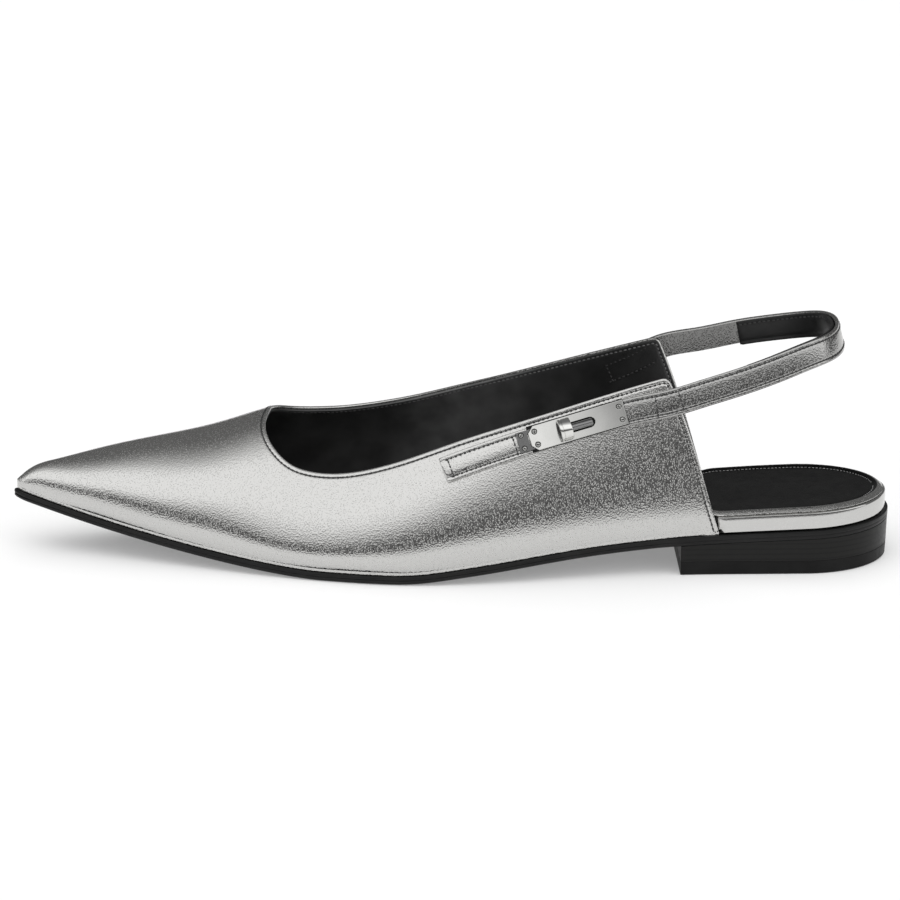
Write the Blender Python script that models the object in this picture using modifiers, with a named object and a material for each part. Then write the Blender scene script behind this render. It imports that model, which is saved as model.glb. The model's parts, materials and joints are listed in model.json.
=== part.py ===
"""A pointed sling back flat for the left foot, in metres, with +Z up.

The toe points to -X, the heel to +X, and the lateral (outer) side to -Y. The tables and sizes
below are in millimetres. A station is the distance along the shoe from the tip of the toe.
"""
import math

import bmesh
import bpy
import numpy as np
from mathutils import Vector

MM = 0.001
LATERAL = -1.0
MEDIAL = 1.0

# Driving sizes of the shoe.
SHOE_LENGTH = 277.0
NOSE_LENGTH = 4.0
SEAT_ROUND = 27.5
END_REACH = 40.0
SOLE_THICKNESS = 3.4
SOLE_PROUD = 1.0
WALL = 1.8
GAP = 0.3

# The sole seen from above: how far its edge lies from the centre line on each side.
SOLE_OUTLINE = [
    # station, lateral, medial
    (0.0, -1.7, 6.3),
    (21.0, 7.0, 14.2),
    (41.0, 14.5, 20.6),
    (61.0, 21.5, 26.6),
    (81.0, 28.0, 32.0),
    (101.0, 33.4, 36.0),
    (121.0, 36.8, 36.0),
    (139.0, 37.0, 32.6),
    (161.0, 34.6, 27.4),
    (186.0, 30.4, 23.8),
    (211.0, 27.4, 24.2),
    (236.0, 26.6, 25.6),
    (256.0, 26.0, 25.6),
    (277.0, 25.2, 25.2),
]

# The underside stands on the floor between these stations, and springs up in front of them.
BALL_FRONT = 98.0
BALL_BACK = 123.0
TOE_SPRING = 15.9
TOE_SPRING_POWER = 1.45
ARCH_LINE = [
    # station, height of the underside
    (123.0, 0.0),
    (129.0, 0.35),
    (139.0, 1.6),
    (151.0, 3.2),
    (166.0, 5.3),
    (181.0, 7.1),
    (196.0, 8.4),
    (213.0, 9.6),
    (241.0, 10.9),
    (277.0, 12.2),
]

# The last above the feather line. Each section is one soft curve from the feather to the crown.
# Behind the throat the crown is only the height that the walls would meet at.
LAST_SECTIONS = [
    # station, crown height, crown side, wall handle, feather roll,
    # then wall bulge and crown handle of the lateral side, and the same two of the medial side
    (0.0, 20.5, 4.0, 0.55, 0.0, 0.3, 0.50, 0.3, 0.50),
    (5.5, 25.2, 3.9, 0.55, 0.0, 0.8, 0.50, 0.8, 0.50),
    (13.0, 28.0, 3.7, 0.54, 0.0, 1.2, 0.48, 1.2, 0.48),
    (26.0, 31.4, 3.3, 0.37, 0.3, 2.4, 0.70, 2.4, 0.70),
    (46.0, 36.0, 2.7, 0.46, 0.8, 1.7, 0.52, 1.7, 0.52),
    (66.0, 40.6, 2.1, 0.59, 1.7, -2.4, 0.43, -2.2, 0.44),
    (82.0, 45.6, 1.6, 0.46, 1.8, -3.8, 0.42, -1.8, 0.50),
    (101.0, 49.2, 1.2, 0.34, 1.9, -1.5, 0.44, 1.4, 0.68),
    (131.0, 60.6, 0.8, 0.39, 1.5, -0.2, 0.39, 2.2, 0.74),
    (166.0, 82.0, 0.6, 0.34, 1.3, -2.2, 0.36, 1.5, 0.74),
    (206.0, 99.0, 0.5, 0.29, 1.4, -4.2, 0.29, 0.5, 0.70),
    (223.0, 105.0, 0.5, 0.27, 1.5, -5.4, 0.38, 0.0, 0.68),
]
# The share of a section's curve in which the wall rolls out from the feather.
ROLL_REACH = 0.16

# The throat and topline on each side, from the middle of the throat to the rear edge. The share is
# how far up a section's curve the edge lies, from 0 at the feather to 1 at the crown.
TOPLINE = {
    # station, share
    LATERAL: [
        (82.1, 1.000),
        (81.4, 0.900),
        (80.9, 0.800),
        (81.4, 0.717),
        (84.7, 0.591),
        (90.0, 0.517),
        (96.6, 0.493),
        (106.2, 0.484),
        (118.0, 0.482),
        (136.7, 0.473),
        (162.0, 0.451),
        (184.0, 0.450),
        (205.5, 0.460),
    ],
    MEDIAL: [
        (82.1, 1.000),
        (82.6, 0.930),
        (84.2, 0.855),
        (86.8, 0.788),
        (90.6, 0.738),
        (96.8, 0.694),
        (103.1, 0.660),
        (110.0, 0.630),
        (122.4, 0.583),
        (135.3, 0.542),
        (154.6, 0.502),
        (180.0, 0.492),
        (204.5, 0.498),
    ],
}
QUARTER_FRONT = 95.0
THROAT_FEATHER = 66.0
QUARTER_END_FEATHER = 221.4
REAR_EDGE_BOW = 1.4

# The columns of the upper stand closer together at the tip and at the throat.
TIP_EASE = 1.35
THROAT_EASE = 1.1

# The heel and what lies on the sole.
HEEL_BREAST = 209.8
TOP_PIECE_HEIGHT = 4.0
HEEL_INSET_FLOOR = 0.5
HEEL_INSET_SEAM = 0.4
HEEL_INSET_TOP = 0.2
BOARD_FRONT = 16.0
BOARD_THICKNESS = [
    # station, thickness
    (16.0, 2.2),
    (121.0, 2.6),
    (201.0, 4.2),
    (277.0, 4.7),
]
BOARD_CLEARANCE = 0.4
SOCK_THICKNESS = 1.5
SOCK_INSET = 0.8
SEAT_START = 221.9

# The strip, the lock and the strap follow the topline at this distance under it.
STRIP_DROP = {
    # station, distance
    LATERAL: [(136.0, 7.0), (165.0, 6.4), (190.0, 6.8), (206.0, 8.0)],
    MEDIAL: [(185.0, 9.2), (196.0, 7.2), (205.0, 4.8)],
}
STRIP_WIDTH = 8.1
STRIP_THICKNESS = 1.4
STRIP_LIFT = GAP + 0.05
TAB_FRONT = 136.5
TAB_END = 176.0
STRAP_FRONT = 176.6
STRAP_WIDTH = 8.4
STRAP_LEAVES = 205.0
STRAP_MEDIAL_END = 188.0
FREE_STRAP = [
    # along, across, height, tilt of the outer face in degrees
    (77.0, -20.8, 56.4, 17.0),
    (88.0, -21.3, 60.2, 17.0),
    (99.0, -20.0, 63.9, 17.0),
    (109.0, -16.3, 67.0, 16.0),
    (117.2, -9.6, 68.7, 15.0),
    (120.6, 0.0, 69.9, 15.0),
    (118.6, 9.5, 70.5, 15.0),
    (112.0, 15.8, 69.1, 15.0),
    (103.0, 19.4, 67.2, 14.0),
    (91.0, 20.9, 65.0, 13.0),
    (79.0, 20.6, 62.6, 12.0),
]
GRIP_WIDTH = 9.2
GRIP_THICKNESS = 0.9
GRIP_FROM = 91.0

# The lock, in its own plane. Its middle lies on the strip at this station.
LOCK_STATION = 177.2
PLATE_LENGTH = 30.7
PLATE_HEIGHT = 7.7
PLATE_THICKNESS = 1.1
PLATE_CHAMFER = 1.9
END_PLATE_LENGTH = 3.7
END_PLATE_HEIGHT = 6.3
SLOT_LENGTH = 9.6
SLOT_HEIGHT = 3.0
SLOT_MIDDLE = 0.7
SCREW_RADIUS = 0.7
SCREW_HEIGHT = 0.45
SCREW_SPACING = 4.1
SCREW_FROM_FRONT = 2.0
SCREW_FROM_BACK = 1.6
SCREW_FROM_END = 1.4
KNOB_RADIUS = 3.4
KNOB_LENGTH = 3.8
KNOB_MIDDLE = -4.2
KNOB_RISE = 0.9
STEM_RADIUS = 1.15
STEM_LENGTH = 6.9


class Curve:
    """A smooth line through the rows of a table: a natural cubic spline of one column."""

    def __init__(self, rows, column=1):
        self.x = np.array([row[0] for row in rows], float)
        self.y = np.array([row[column] for row in rows], float)
        gaps = np.diff(self.x)
        slopes = np.diff(self.y) / gaps
        matrix = np.eye(len(self.x))
        right = np.zeros(len(self.x))
        for i in range(1, len(self.x) - 1):
            matrix[i, i - 1] = gaps[i - 1]
            matrix[i, i] = 2.0 * (gaps[i - 1] + gaps[i])
            matrix[i, i + 1] = gaps[i]
            right[i] = 6.0 * (slopes[i] - slopes[i - 1])
        self.bend = np.linalg.solve(matrix, right)

    def __call__(self, x):
        i = int(np.clip(np.searchsorted(self.x, x) - 1, 0, len(self.x) - 2))
        gap = self.x[i + 1] - self.x[i]
        low = (self.x[i + 1] - x) / gap
        high = (x - self.x[i]) / gap
        line = low * self.y[i] + high * self.y[i + 1]
        low_bend = (low ** 3 - low) * self.bend[i]
        high_bend = (high ** 3 - high) * self.bend[i + 1]
        return line + (low_bend + high_bend) * gap * gap / 6.0


OUTLINE = {LATERAL: Curve(SOLE_OUTLINE, 1), MEDIAL: Curve(SOLE_OUTLINE, 2)}
ARCH = Curve(ARCH_LINE)
BOARD_DEPTH = Curve(BOARD_THICKNESS)
CROWN_HEIGHT, CROWN_SIDE, WALL_HANDLE, FEATHER_ROLL = (
    Curve(LAST_SECTIONS, column) for column in range(1, 5)
)
WALL_BULGE = {LATERAL: Curve(LAST_SECTIONS, 5), MEDIAL: Curve(LAST_SECTIONS, 7)}
CROWN_HANDLE = {LATERAL: Curve(LAST_SECTIONS, 6), MEDIAL: Curve(LAST_SECTIONS, 8)}


def underside(station):
    """Height of the sole's underside: toe spring, flat ball and arch."""
    if station < BALL_FRONT:
        return TOE_SPRING * ((BALL_FRONT - station) / BALL_FRONT) ** TOE_SPRING_POWER
    if station < BALL_BACK:
        return 0.0
    return max(0.0, ARCH(station))


def sole_top(station):
    return underside(station) + SOLE_THICKNESS


def rounding(station):
    """How much of its width the outline has at a station, near its rounded ends."""
    if station < NOSE_LENGTH:
        return math.sqrt(max(0.0, 1.0 - (1.0 - station / NOSE_LENGTH) ** 2))
    into_seat = (station - SHOE_LENGTH + SEAT_ROUND) / SEAT_ROUND
    return math.sqrt(max(0.0, 1.0 - into_seat ** 2)) if into_seat > 0.0 else 1.0


def outline(side, station, inset):
    """The sole's edge moved inwards by inset: its own station, and its place across."""
    middle = (OUTLINE[MEDIAL](station) - OUTLINE[LATERAL](station)) / 2.0
    half = (OUTLINE[MEDIAL](station) + OUTLINE[LATERAL](station)) / 2.0 - inset
    from_toe = max(0.0, 1.0 - station / END_REACH)
    from_heel = max(0.0, 1.0 - (SHOE_LENGTH - station) / END_REACH)
    return station + inset * (from_toe - from_heel), middle + side * half * rounding(station)


def end_stations(first, last, step):
    """Stations with close steps where the outline turns round at the toe and the heel."""
    nose = [NOSE_LENGTH * (1.0 - math.cos(math.radians(a))) for a in (14, 34, 56, 76)]
    seat_turns = (80, 68, 56, 45, 34, 23, 12, 5)
    seat = [SHOE_LENGTH - SEAT_ROUND * (1.0 - math.cos(math.radians(a))) for a in seat_turns]
    count = max(1, round((seat[0] - NOSE_LENGTH) / step))
    middle = [NOSE_LENGTH + (seat[0] - NOSE_LENGTH) * i / count for i in range(count)]
    return [s for s in nose + middle + seat if first <= s <= last]


def last_point(side, station, share):
    """A point on the outside of the upper: share runs from the feather to the crown."""
    moved, feather_side = outline(side, station, SOLE_PROUD)
    feather_height = sole_top(moved) + GAP
    crown_side = CROWN_SIDE(moved)
    crown_height = CROWN_HEIGHT(moved)
    rise = crown_height - feather_height
    reach = feather_side - crown_side
    bulge = side * WALL_BULGE[side](moved) * rounding(station)
    roll = side * FEATHER_ROLL(moved) * rounding(station)
    controls = (
        (feather_side + roll, feather_height),
        (feather_side + roll + bulge, feather_height + rise * WALL_HANDLE(moved)),
        (crown_side + reach * CROWN_HANDLE[side](moved), crown_height),
        (crown_side, crown_height),
    )
    rest = 1.0 - share
    weights = (rest ** 3, 3.0 * rest * rest * share, 3.0 * rest * share * share, share ** 3)
    across = sum(w * c[0] for w, c in zip(weights, controls))
    across = across - roll * np.clip(1.0 - share / ROLL_REACH, 0.0, 1.0) ** 3
    height = sum(w * c[1] for w, c in zip(weights, controls))
    return np.array([moved - SHOE_LENGTH / 2.0, across, height])


def share_at(side, station, height):
    """The share of the section's curve at which it reaches a height."""
    low, high = 0.0, 1.0
    for _ in range(40):
        middle = (low + high) / 2.0
        if last_point(side, station, middle)[2] < height:
            low = middle
        else:
            high = middle
    return low


def run_along(points):
    """The length along a row of points, at each of them."""
    steps = [np.linalg.norm(after - before) for before, after in zip(points, points[1:])]
    return np.concatenate([[0.0], np.cumsum(steps)])


def topline_curves(side):
    """Station and share along the topline, from the middle of the throat, and its length."""
    rows = TOPLINE[side]
    run = run_along([last_point(side, station, share) for station, share in rows])
    station_of = Curve([(length, row[0]) for length, row in zip(run, rows)])
    share_of = Curve([(length, row[1]) for length, row in zip(run, rows)])
    return station_of, share_of, run[-1]


def upper_columns(side, vamp_count, quarter_count):
    """Each column of the upper as its feather station, top station and top share."""
    station_of, share_of, length = topline_curves(side)
    columns = []
    for i in range(1, vamp_count):
        eased = (i / vamp_count) ** TIP_EASE
        columns.append((THROAT_FEATHER * eased, TOPLINE[side][0][0] * eased, 1.0))
    for i in range(quarter_count + 1):
        along = i / quarter_count
        run = length * along
        feather = THROAT_FEATHER + (QUARTER_END_FEATHER - THROAT_FEATHER) * along ** THROAT_EASE
        columns.append((feather, station_of(run), share_of(run)))
    return columns


def upper_point(side, column, up):
    """A point of the upper's outside on one column: up runs from the feather to the top."""
    feather, top, share = column
    behind = max(0.0, (feather - THROAT_FEATHER) / (QUARTER_END_FEATHER - THROAT_FEATHER))
    bow = REAR_EDGE_BOW * 4.0 * up * (1.0 - up) * behind ** 3
    return last_point(side, feather + (top - feather) * up + bow, share * up)


QUARTER_SHARE = {
    side: Curve([row for row in rows if row[0] > QUARTER_FRONT]) for side, rows in TOPLINE.items()
}
DROP = {side: Curve(rows) for side, rows in STRIP_DROP.items()}


def on_strip(side, station, lift):
    """A point over the quarter on the strip's middle line, and the way that it faces."""
    edge = last_point(side, station, QUARTER_SHARE[side](station))
    share = share_at(side, station, edge[2] - DROP[side](station))
    point = last_point(side, station, share)
    along = last_point(side, station + 1.0, share) - last_point(side, station - 1.0, share)
    up = last_point(side, station, share + 0.01) - last_point(side, station, share - 0.01)
    facing = np.cross(along, up) * -side
    facing /= np.linalg.norm(facing)
    return point + facing * lift, facing


def clear_scene():
    for scene_object in list(bpy.data.objects):
        bpy.data.objects.remove(scene_object, do_unlink=True)


def make_material(name, colour, roughness, metallic):
    material = bpy.data.materials.new(name)
    material.use_nodes = True
    shader = material.node_tree.nodes["Principled BSDF"]
    shader.inputs["Base Color"].default_value = (*colour, 1.0)
    shader.inputs["Roughness"].default_value = roughness
    shader.inputs["Metallic"].default_value = metallic
    return material


def add_object(name, data, material, collection):
    node = bpy.data.objects.new(name, data)
    collection.objects.link(node)
    data.materials.append(material)
    return node


def loft(name, rings, material, collection):
    """A closed solid through rings of points in millimetres, all with the same count."""
    mesh = bmesh.new()
    loops = [[mesh.verts.new(Vector(point) * MM) for point in ring] for ring in rings]
    count = len(loops[0])
    for near, far in zip(loops, loops[1:]):
        for i in range(count):
            j = (i + 1) % count
            mesh.faces.new((near[i], near[j], far[j], far[i]))
    mesh.faces.new(list(reversed(loops[0])))
    mesh.faces.new(loops[-1])
    bmesh.ops.recalc_face_normals(mesh, faces=mesh.faces)
    data = bpy.data.meshes.new(name)
    mesh.to_mesh(data)
    mesh.free()
    return add_object(name, data, material, collection)


def side_ring(points):
    """A ring across the shoe from rows of (inset, height, station) up one side."""
    ring = []
    for side, rows in ((LATERAL, points), (MEDIAL, points[::-1])):
        for inset, height_of, station in rows:
            moved, across = outline(side, station, inset)
            ring.append((moved - SHOE_LENGTH / 2.0, across, height_of(moved)))
    return ring


def build_outsole(material, collection):
    """The leather sole, with a rounded lower edge and a groove along the middle of its side."""
    edge_round = 0.6
    groove = 0.4
    profile = (
        # inset, height above the underside
        (edge_round, 0.0),
        (0.0, edge_round),
        (0.0, SOLE_THICKNESS / 2.0 - groove),
        (groove, SOLE_THICKNESS / 2.0),
        (0.0, SOLE_THICKNESS / 2.0 + groove),
        (0.0, SOLE_THICKNESS),
    )
    rings = []
    for station in end_stations(0.0, SHOE_LENGTH, 6.0):
        rows = [(inset, lambda s, h=height: underside(s) + h, station) for inset, height in profile]
        rings.append(side_ring(rows))
    return loft("outsole", rings, material, collection)


def build_heel(materials, collection):
    """The stacked heel and the layer that it stands on."""
    stations = [HEEL_BREAST] + end_stations(HEEL_BREAST + 3.0, SHOE_LENGTH, 8.0)
    layers = (
        # name, lower inset, lower height, upper inset, upper height
        ("heel_top_piece", HEEL_INSET_FLOOR, lambda s: 0.0, HEEL_INSET_SEAM, lambda s: TOP_PIECE_HEIGHT),
        (
            "heel_block",
            HEEL_INSET_SEAM,
            lambda s: TOP_PIECE_HEIGHT + GAP,
            HEEL_INSET_TOP,
            lambda s: underside(s) - GAP,
        ),
    )
    for name, low_inset, low, high_inset, high in layers:
        rings = [side_ring([(low_inset, low, s), (high_inset, high, s)]) for s in stations]
        loft(name, rings, materials[name], collection)


def seat_inset(station, inside, outside):
    """Inset of what lies in the shoe: within the upper's wall, and out to the edge behind it."""
    return inside if station < SEAT_START else outside


def seat_stations(step):
    stations = [s for s in end_stations(BOARD_FRONT, SHOE_LENGTH, step) if abs(s - SEAT_START) > 2.0]
    return sorted(stations + [BOARD_FRONT, SEAT_START - GAP, SEAT_START + GAP])


def board_top(station):
    return sole_top(station) + GAP + BOARD_DEPTH(station)


def build_insole(materials, collection):
    """The board under the foot and the padded sock that covers it."""
    inside = SOLE_PROUD + WALL + BOARD_CLEARANCE
    layers = (
        # name, outer inset at the seat, lower face, upper face
        ("insole_board", SOLE_PROUD, lambda s: sole_top(s) + GAP, board_top),
        (
            "insole",
            SOLE_PROUD + SOCK_INSET,
            lambda s: board_top(s) + GAP,
            lambda s: board_top(s) + GAP + SOCK_THICKNESS,
        ),
    )
    for name, outside, low, high in layers:
        rings = []
        for station in seat_stations(7.0):
            inset = seat_inset(station, inside, outside)
            rings.append(side_ring([(inset, low, station), (inset, high, station)]))
        loft(name, rings, materials[name], collection)


def build_upper(material, collection):
    """The shell on the last, from one quarter's rear edge round the toe to the other's."""
    rows = 8
    vamp_count = 15
    quarter_count = 22
    tip = (0.0, 0.0, 1.0)
    mesh = bmesh.new()
    grid = {}
    tip_column = [mesh.verts.new(Vector(upper_point(LATERAL, tip, r / rows)) * MM) for r in range(rows + 1)]
    for side in (LATERAL, MEDIAL):
        grid[side] = [tip_column]
        for index, column in enumerate(upper_columns(side, vamp_count, quarter_count)):
            shared = side == MEDIAL and index < vamp_count
            count = rows if shared else rows + 1
            points = [upper_point(side, column, r / rows) for r in range(count)]
            verts = [mesh.verts.new(Vector(point) * MM) for point in points]
            if shared:
                verts.append(grid[LATERAL][index + 1][rows])
            grid[side].append(verts)
    for side, lines in grid.items():
        for near, far in zip(lines, lines[1:]):
            for r in range(rows):
                corners = [near[r], far[r], far[r + 1], near[r + 1]]
                mesh.faces.new(corners if side == LATERAL else corners[::-1])
    data = bpy.data.meshes.new("upper")
    mesh.to_mesh(data)
    mesh.free()
    upper = add_object("upper", data, material, collection)
    shell = upper.modifiers.new("wall", "SOLIDIFY")
    shell.thickness = WALL * MM
    shell.offset = -1.0
    return upper


def frame_along(points, tilts):
    """For each point of a path, its way up across the band and the way that its outer face looks."""
    frames = []
    for i, point in enumerate(points):
        along = points[min(i + 1, len(points) - 1)] - points[max(i - 1, 0)]
        along /= np.linalg.norm(along)
        level = np.cross(along, (0.0, 0.0, 1.0))
        level /= np.linalg.norm(level)
        tilt = math.radians(tilts[i])
        facing = level * math.cos(tilt) + np.array([0.0, 0.0, 1.0]) * math.sin(tilt)
        facing -= along * np.dot(facing, along)
        facing /= np.linalg.norm(facing)
        frames.append((point, np.cross(facing, along), facing))
    return frames


def band(name, frames, width, low, high, material, collection):
    """A leather band with eased edges: low and high are its faces' distances from the path."""
    ease = min(0.35, (high - low) / 3.0)
    half = width / 2.0
    profile = (
        (-half, low + ease),
        (-half + ease, low),
        (half - ease, low),
        (half, low + ease),
        (half, high - ease),
        (half - ease, high),
        (-half + ease, high),
        (-half, high - ease),
    )
    rings = [[point + up * a + facing * n for a, n in profile] for point, up, facing in frames]
    return loft(name, rings, material, collection)


def quarter_path(side, first, last, step):
    """Points of the strip's inner face over the quarter, with the tilt of its outer face."""
    count = max(2, round(abs(last - first) / step))
    stations = [first + (last - first) * i / count for i in range(count + 1)]
    placed = [on_strip(side, station, STRIP_LIFT) for station in stations]
    return [point for point, _ in placed], [math.degrees(math.asin(facing[2])) for _, facing in placed]


def strap_path(step):
    """The whole sling strap: lateral quarter, free loop round the back, medial quarter."""
    lateral, lateral_tilts = quarter_path(LATERAL, STRAP_FRONT, STRAP_LEAVES, 5.5)
    medial, medial_tilts = quarter_path(MEDIAL, STRAP_LEAVES, STRAP_MEDIAL_END, 5.5)
    free = [np.array(row[:3]) for row in FREE_STRAP]
    knots = lateral + free + medial
    tilts = lateral_tilts + [row[3] for row in FREE_STRAP] + medial_tilts
    run = run_along(knots)
    lines = [Curve(list(zip(run, [knot[axis] for knot in knots]))) for axis in range(3)]
    tilt_line = Curve(list(zip(run, tilts)))
    count = round(run[-1] / step)
    places = [run[-1] * i / count for i in range(count + 1)]
    points = [np.array([line(place) for line in lines]) for place in places]
    return points, [tilt_line(place) for place in places]


def build_straps(materials, collection):
    """The strip in front of the lock, the sling strap, and the grip patch inside its back."""
    points, tilts = quarter_path(LATERAL, TAB_FRONT, TAB_END, 3.0)
    frames = frame_along(points, tilts)
    band("side_tab", frames, STRIP_WIDTH, 0.0, STRIP_THICKNESS, materials["side_tab"], collection)
    points, tilts = strap_path(3.2)
    frames = frame_along(points, tilts)
    strap = materials["sling_strap"]
    band("sling_strap", frames, STRAP_WIDTH, 0.0, STRIP_THICKNESS, strap, collection)
    back = [frame for frame in frames if frame[0][0] > GRIP_FROM]
    grip = materials["strap_lining"]
    band("strap_lining", back, GRIP_WIDTH, -GAP - GRIP_THICKNESS, -GAP, grip, collection)


def lock_matrix():
    """The lock's plane: its X runs back along the strip, its Y up across it, its Z outwards."""
    ahead, _ = on_strip(LATERAL, LOCK_STATION + PLATE_LENGTH / 2.0, 0.0)
    behind, _ = on_strip(LATERAL, LOCK_STATION - PLATE_LENGTH / 2.0, 0.0)
    middle, facing = on_strip(LATERAL, LOCK_STATION, STRIP_LIFT + STRIP_THICKNESS + GAP)
    along = ahead - behind
    along /= np.linalg.norm(along)
    facing = facing - along * np.dot(facing, along)
    facing /= np.linalg.norm(facing)
    up = np.cross(facing, along)
    return middle, along, up, facing


def place_in_lock(node, frame, at):
    """Turns an object that was made flat into the lock's plane, at a place in that plane."""
    middle, along, up, facing = frame
    where = middle + along * at[0] + up * at[1] + facing * at[2]
    for row in range(3):
        node.matrix_world[row][0] = along[row]
        node.matrix_world[row][1] = up[row]
        node.matrix_world[row][2] = facing[row]
        node.matrix_world[row][3] = where[row] * MM


def circle_points(x, y, radius, count):
    turns = [2.0 * math.pi * i / count for i in range(count)]
    return [(x + radius * math.cos(turn), y + radius * math.sin(turn)) for turn in turns]


def flat_plate(name, outlines, thickness, material, collection):
    """A flat plate from one outer outline and the outlines of its holes."""
    data = bpy.data.curves.new(name, "CURVE")
    data.dimensions = "2D"
    data.fill_mode = "BOTH"
    data.extrude = thickness * MM / 2.0
    for points in outlines:
        spline = data.splines.new("POLY")
        spline.points.add(len(points) - 1)
        for target, (x, y) in zip(spline.points, points):
            target.co = (x * MM, y * MM, 0.0, 1.0)
        spline.use_cyclic_u = True
    return add_object(name, data, material, collection)


def screw_places():
    """The six screws in the lock's plane, four on the plate and two on the end plate."""
    back = PLATE_LENGTH / 2.0 - SCREW_FROM_BACK
    front = -PLATE_LENGTH / 2.0 + SCREW_FROM_FRONT
    end = -PLATE_LENGTH / 2.0 - END_PLATE_LENGTH + SCREW_FROM_END
    half = SCREW_SPACING / 2.0
    return [(x, side * half) for x in (back, front, end) for side in (1.0, -1.0)]


def slot_outline():
    """The slot, with round ends."""
    radius = SLOT_HEIGHT / 2.0
    reach = SLOT_LENGTH / 2.0 - radius
    points = []
    for centre, start in ((reach, -90.0), (-reach, 90.0)):
        for i in range(7):
            turn = math.radians(start + 30.0 * i)
            x = SLOT_MIDDLE + centre + radius * math.cos(turn)
            points.append((x, radius * math.sin(turn)))
    return points


def build_plates(materials, collection, frame):
    """The slotted plate and the end plate that fits round its chamfered end."""
    half = PLATE_LENGTH / 2.0
    tall = PLATE_HEIGHT / 2.0
    cut = PLATE_CHAMFER
    outer = [(half, -tall), (half, tall), (-half + cut, tall), (-half, tall - cut)]
    outer += [(-half, -tall + cut), (-half + cut, -tall)]
    places = screw_places()
    hole = SCREW_RADIUS + GAP
    holes = [circle_points(x, y, hole, 10) for x, y in places]
    plate = flat_plate(
        "lock_plate", [outer, slot_outline()] + holes[:4], PLATE_THICKNESS, materials["lock_plate"], collection
    )
    place_in_lock(plate, frame, (0.0, 0.0, PLATE_THICKNESS / 2.0))
    left = -half - END_PLATE_LENGTH
    edge = -half - GAP
    low = END_PLATE_HEIGHT / 2.0
    flare = 1.3
    outer = [(left, -low), (edge + flare, -low), (edge, -low + flare), (edge, low - flare)]
    outer += [(edge + flare, low), (left, low)]
    end_plate = flat_plate(
        "lock_end_plate", [outer] + holes[4:], PLATE_THICKNESS, materials["lock_end_plate"], collection
    )
    place_in_lock(end_plate, frame, (0.0, 0.0, PLATE_THICKNESS / 2.0))


def build_screws(material, collection, frame):
    """Small screws through both plates, a little proud of them."""
    for number, (x, y) in enumerate(screw_places(), 1):
        mesh = bmesh.new()
        tall = PLATE_THICKNESS + SCREW_HEIGHT
        bmesh.ops.create_cone(
            mesh,
            cap_ends=True,
            segments=10,
            radius1=SCREW_RADIUS * MM,
            radius2=SCREW_RADIUS * 0.75 * MM,
            depth=tall * MM,
        )
        data = bpy.data.meshes.new(f"lock_screw_{number}")
        mesh.to_mesh(data)
        mesh.free()
        screw = add_object(f"lock_screw_{number}", data, material, collection)
        place_in_lock(screw, frame, (x, y, tall / 2.0))


def build_knob(material, collection, frame):
    """The turning knob: a drum cut flat over the plate, and the stem that lies in the slot."""
    floor = GAP - KNOB_RISE
    opening = math.asin(floor / KNOB_RADIUS)
    turns = [opening + (math.pi - 2.0 * opening) * i / 14 for i in range(15)]
    drum = [(KNOB_RADIUS * math.cos(turn), KNOB_RADIUS * math.sin(turn)) for turn in turns]
    stem_turns = [2.0 * math.pi * i / 12 for i in range(12)]
    stem = [(STEM_RADIUS * math.cos(turn), STEM_RADIUS * math.sin(turn)) for turn in stem_turns]
    drum_back = KNOB_MIDDLE + KNOB_LENGTH / 2.0
    stem_overlap = 0.9
    solids = (
        ("lock_knob", drum, KNOB_MIDDLE - KNOB_LENGTH / 2.0, drum_back),
        ("knob_stem", stem, drum_back - stem_overlap, drum_back + STEM_LENGTH),
    )
    made = []
    for name, profile, start, stop in solids:
        rings = [[(x, y, z) for y, z in profile] for x in (start, stop)]
        node = loft(name, rings, material, collection)
        place_in_lock(node, frame, (0.0, 0.0, PLATE_THICKNESS + KNOB_RISE))
        made.append(node)
    knob, rod = made
    union = knob.modifiers.new("stem", "BOOLEAN")
    union.operation = "UNION"
    union.object = rod
    rod.hide_render = True
    rod.display_type = "WIRE"
    return knob


def main():
    clear_scene()
    collection = bpy.data.collections.new("sling_back_flat")
    bpy.context.scene.collection.children.link(collection)
    silver = ((0.72, 0.72, 0.71), 0.38, 1.0)
    black = ((0.012, 0.012, 0.012), 0.45, 0.0)
    steel = ((0.80, 0.80, 0.79), 0.12, 1.0)
    finishes = {
        "outsole": black,
        "heel_block": black,
        "heel_top_piece": ((0.010, 0.010, 0.010), 0.60, 0.0),
        "insole_board": silver,
        "insole": black,
        "upper": silver,
        "side_tab": silver,
        "sling_strap": silver,
        "strap_lining": black,
        "lock_plate": steel,
        "lock_end_plate": ((0.22, 0.22, 0.22), 0.30, 1.0),
        "lock_screw": steel,
        "lock_knob": steel,
    }
    materials = {name: make_material(name, *finish) for name, finish in finishes.items()}
    build_outsole(materials["outsole"], collection)
    build_heel(materials, collection)
    build_insole(materials, collection)
    build_upper(materials["upper"], collection)
    build_straps(materials, collection)
    frame = lock_matrix()
    build_plates(materials, collection, frame)
    build_screws(materials["lock_screw"], collection, frame)
    build_knob(materials["lock_knob"], collection, frame)


main()
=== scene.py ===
"""The looks of the sling back flat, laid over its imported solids.

The tables of sizes are in millimetres and repeat those of the solids. A station is the distance
along the shoe from the tip of the toe. Every piece is set in metres in the shoe's own frame.
"""
import json
from math import asin, copysign, cos, degrees, pi, radians, sin, sqrt

import bmesh
import bpy
import numpy as np
from mathutils import Matrix, Vector

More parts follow.
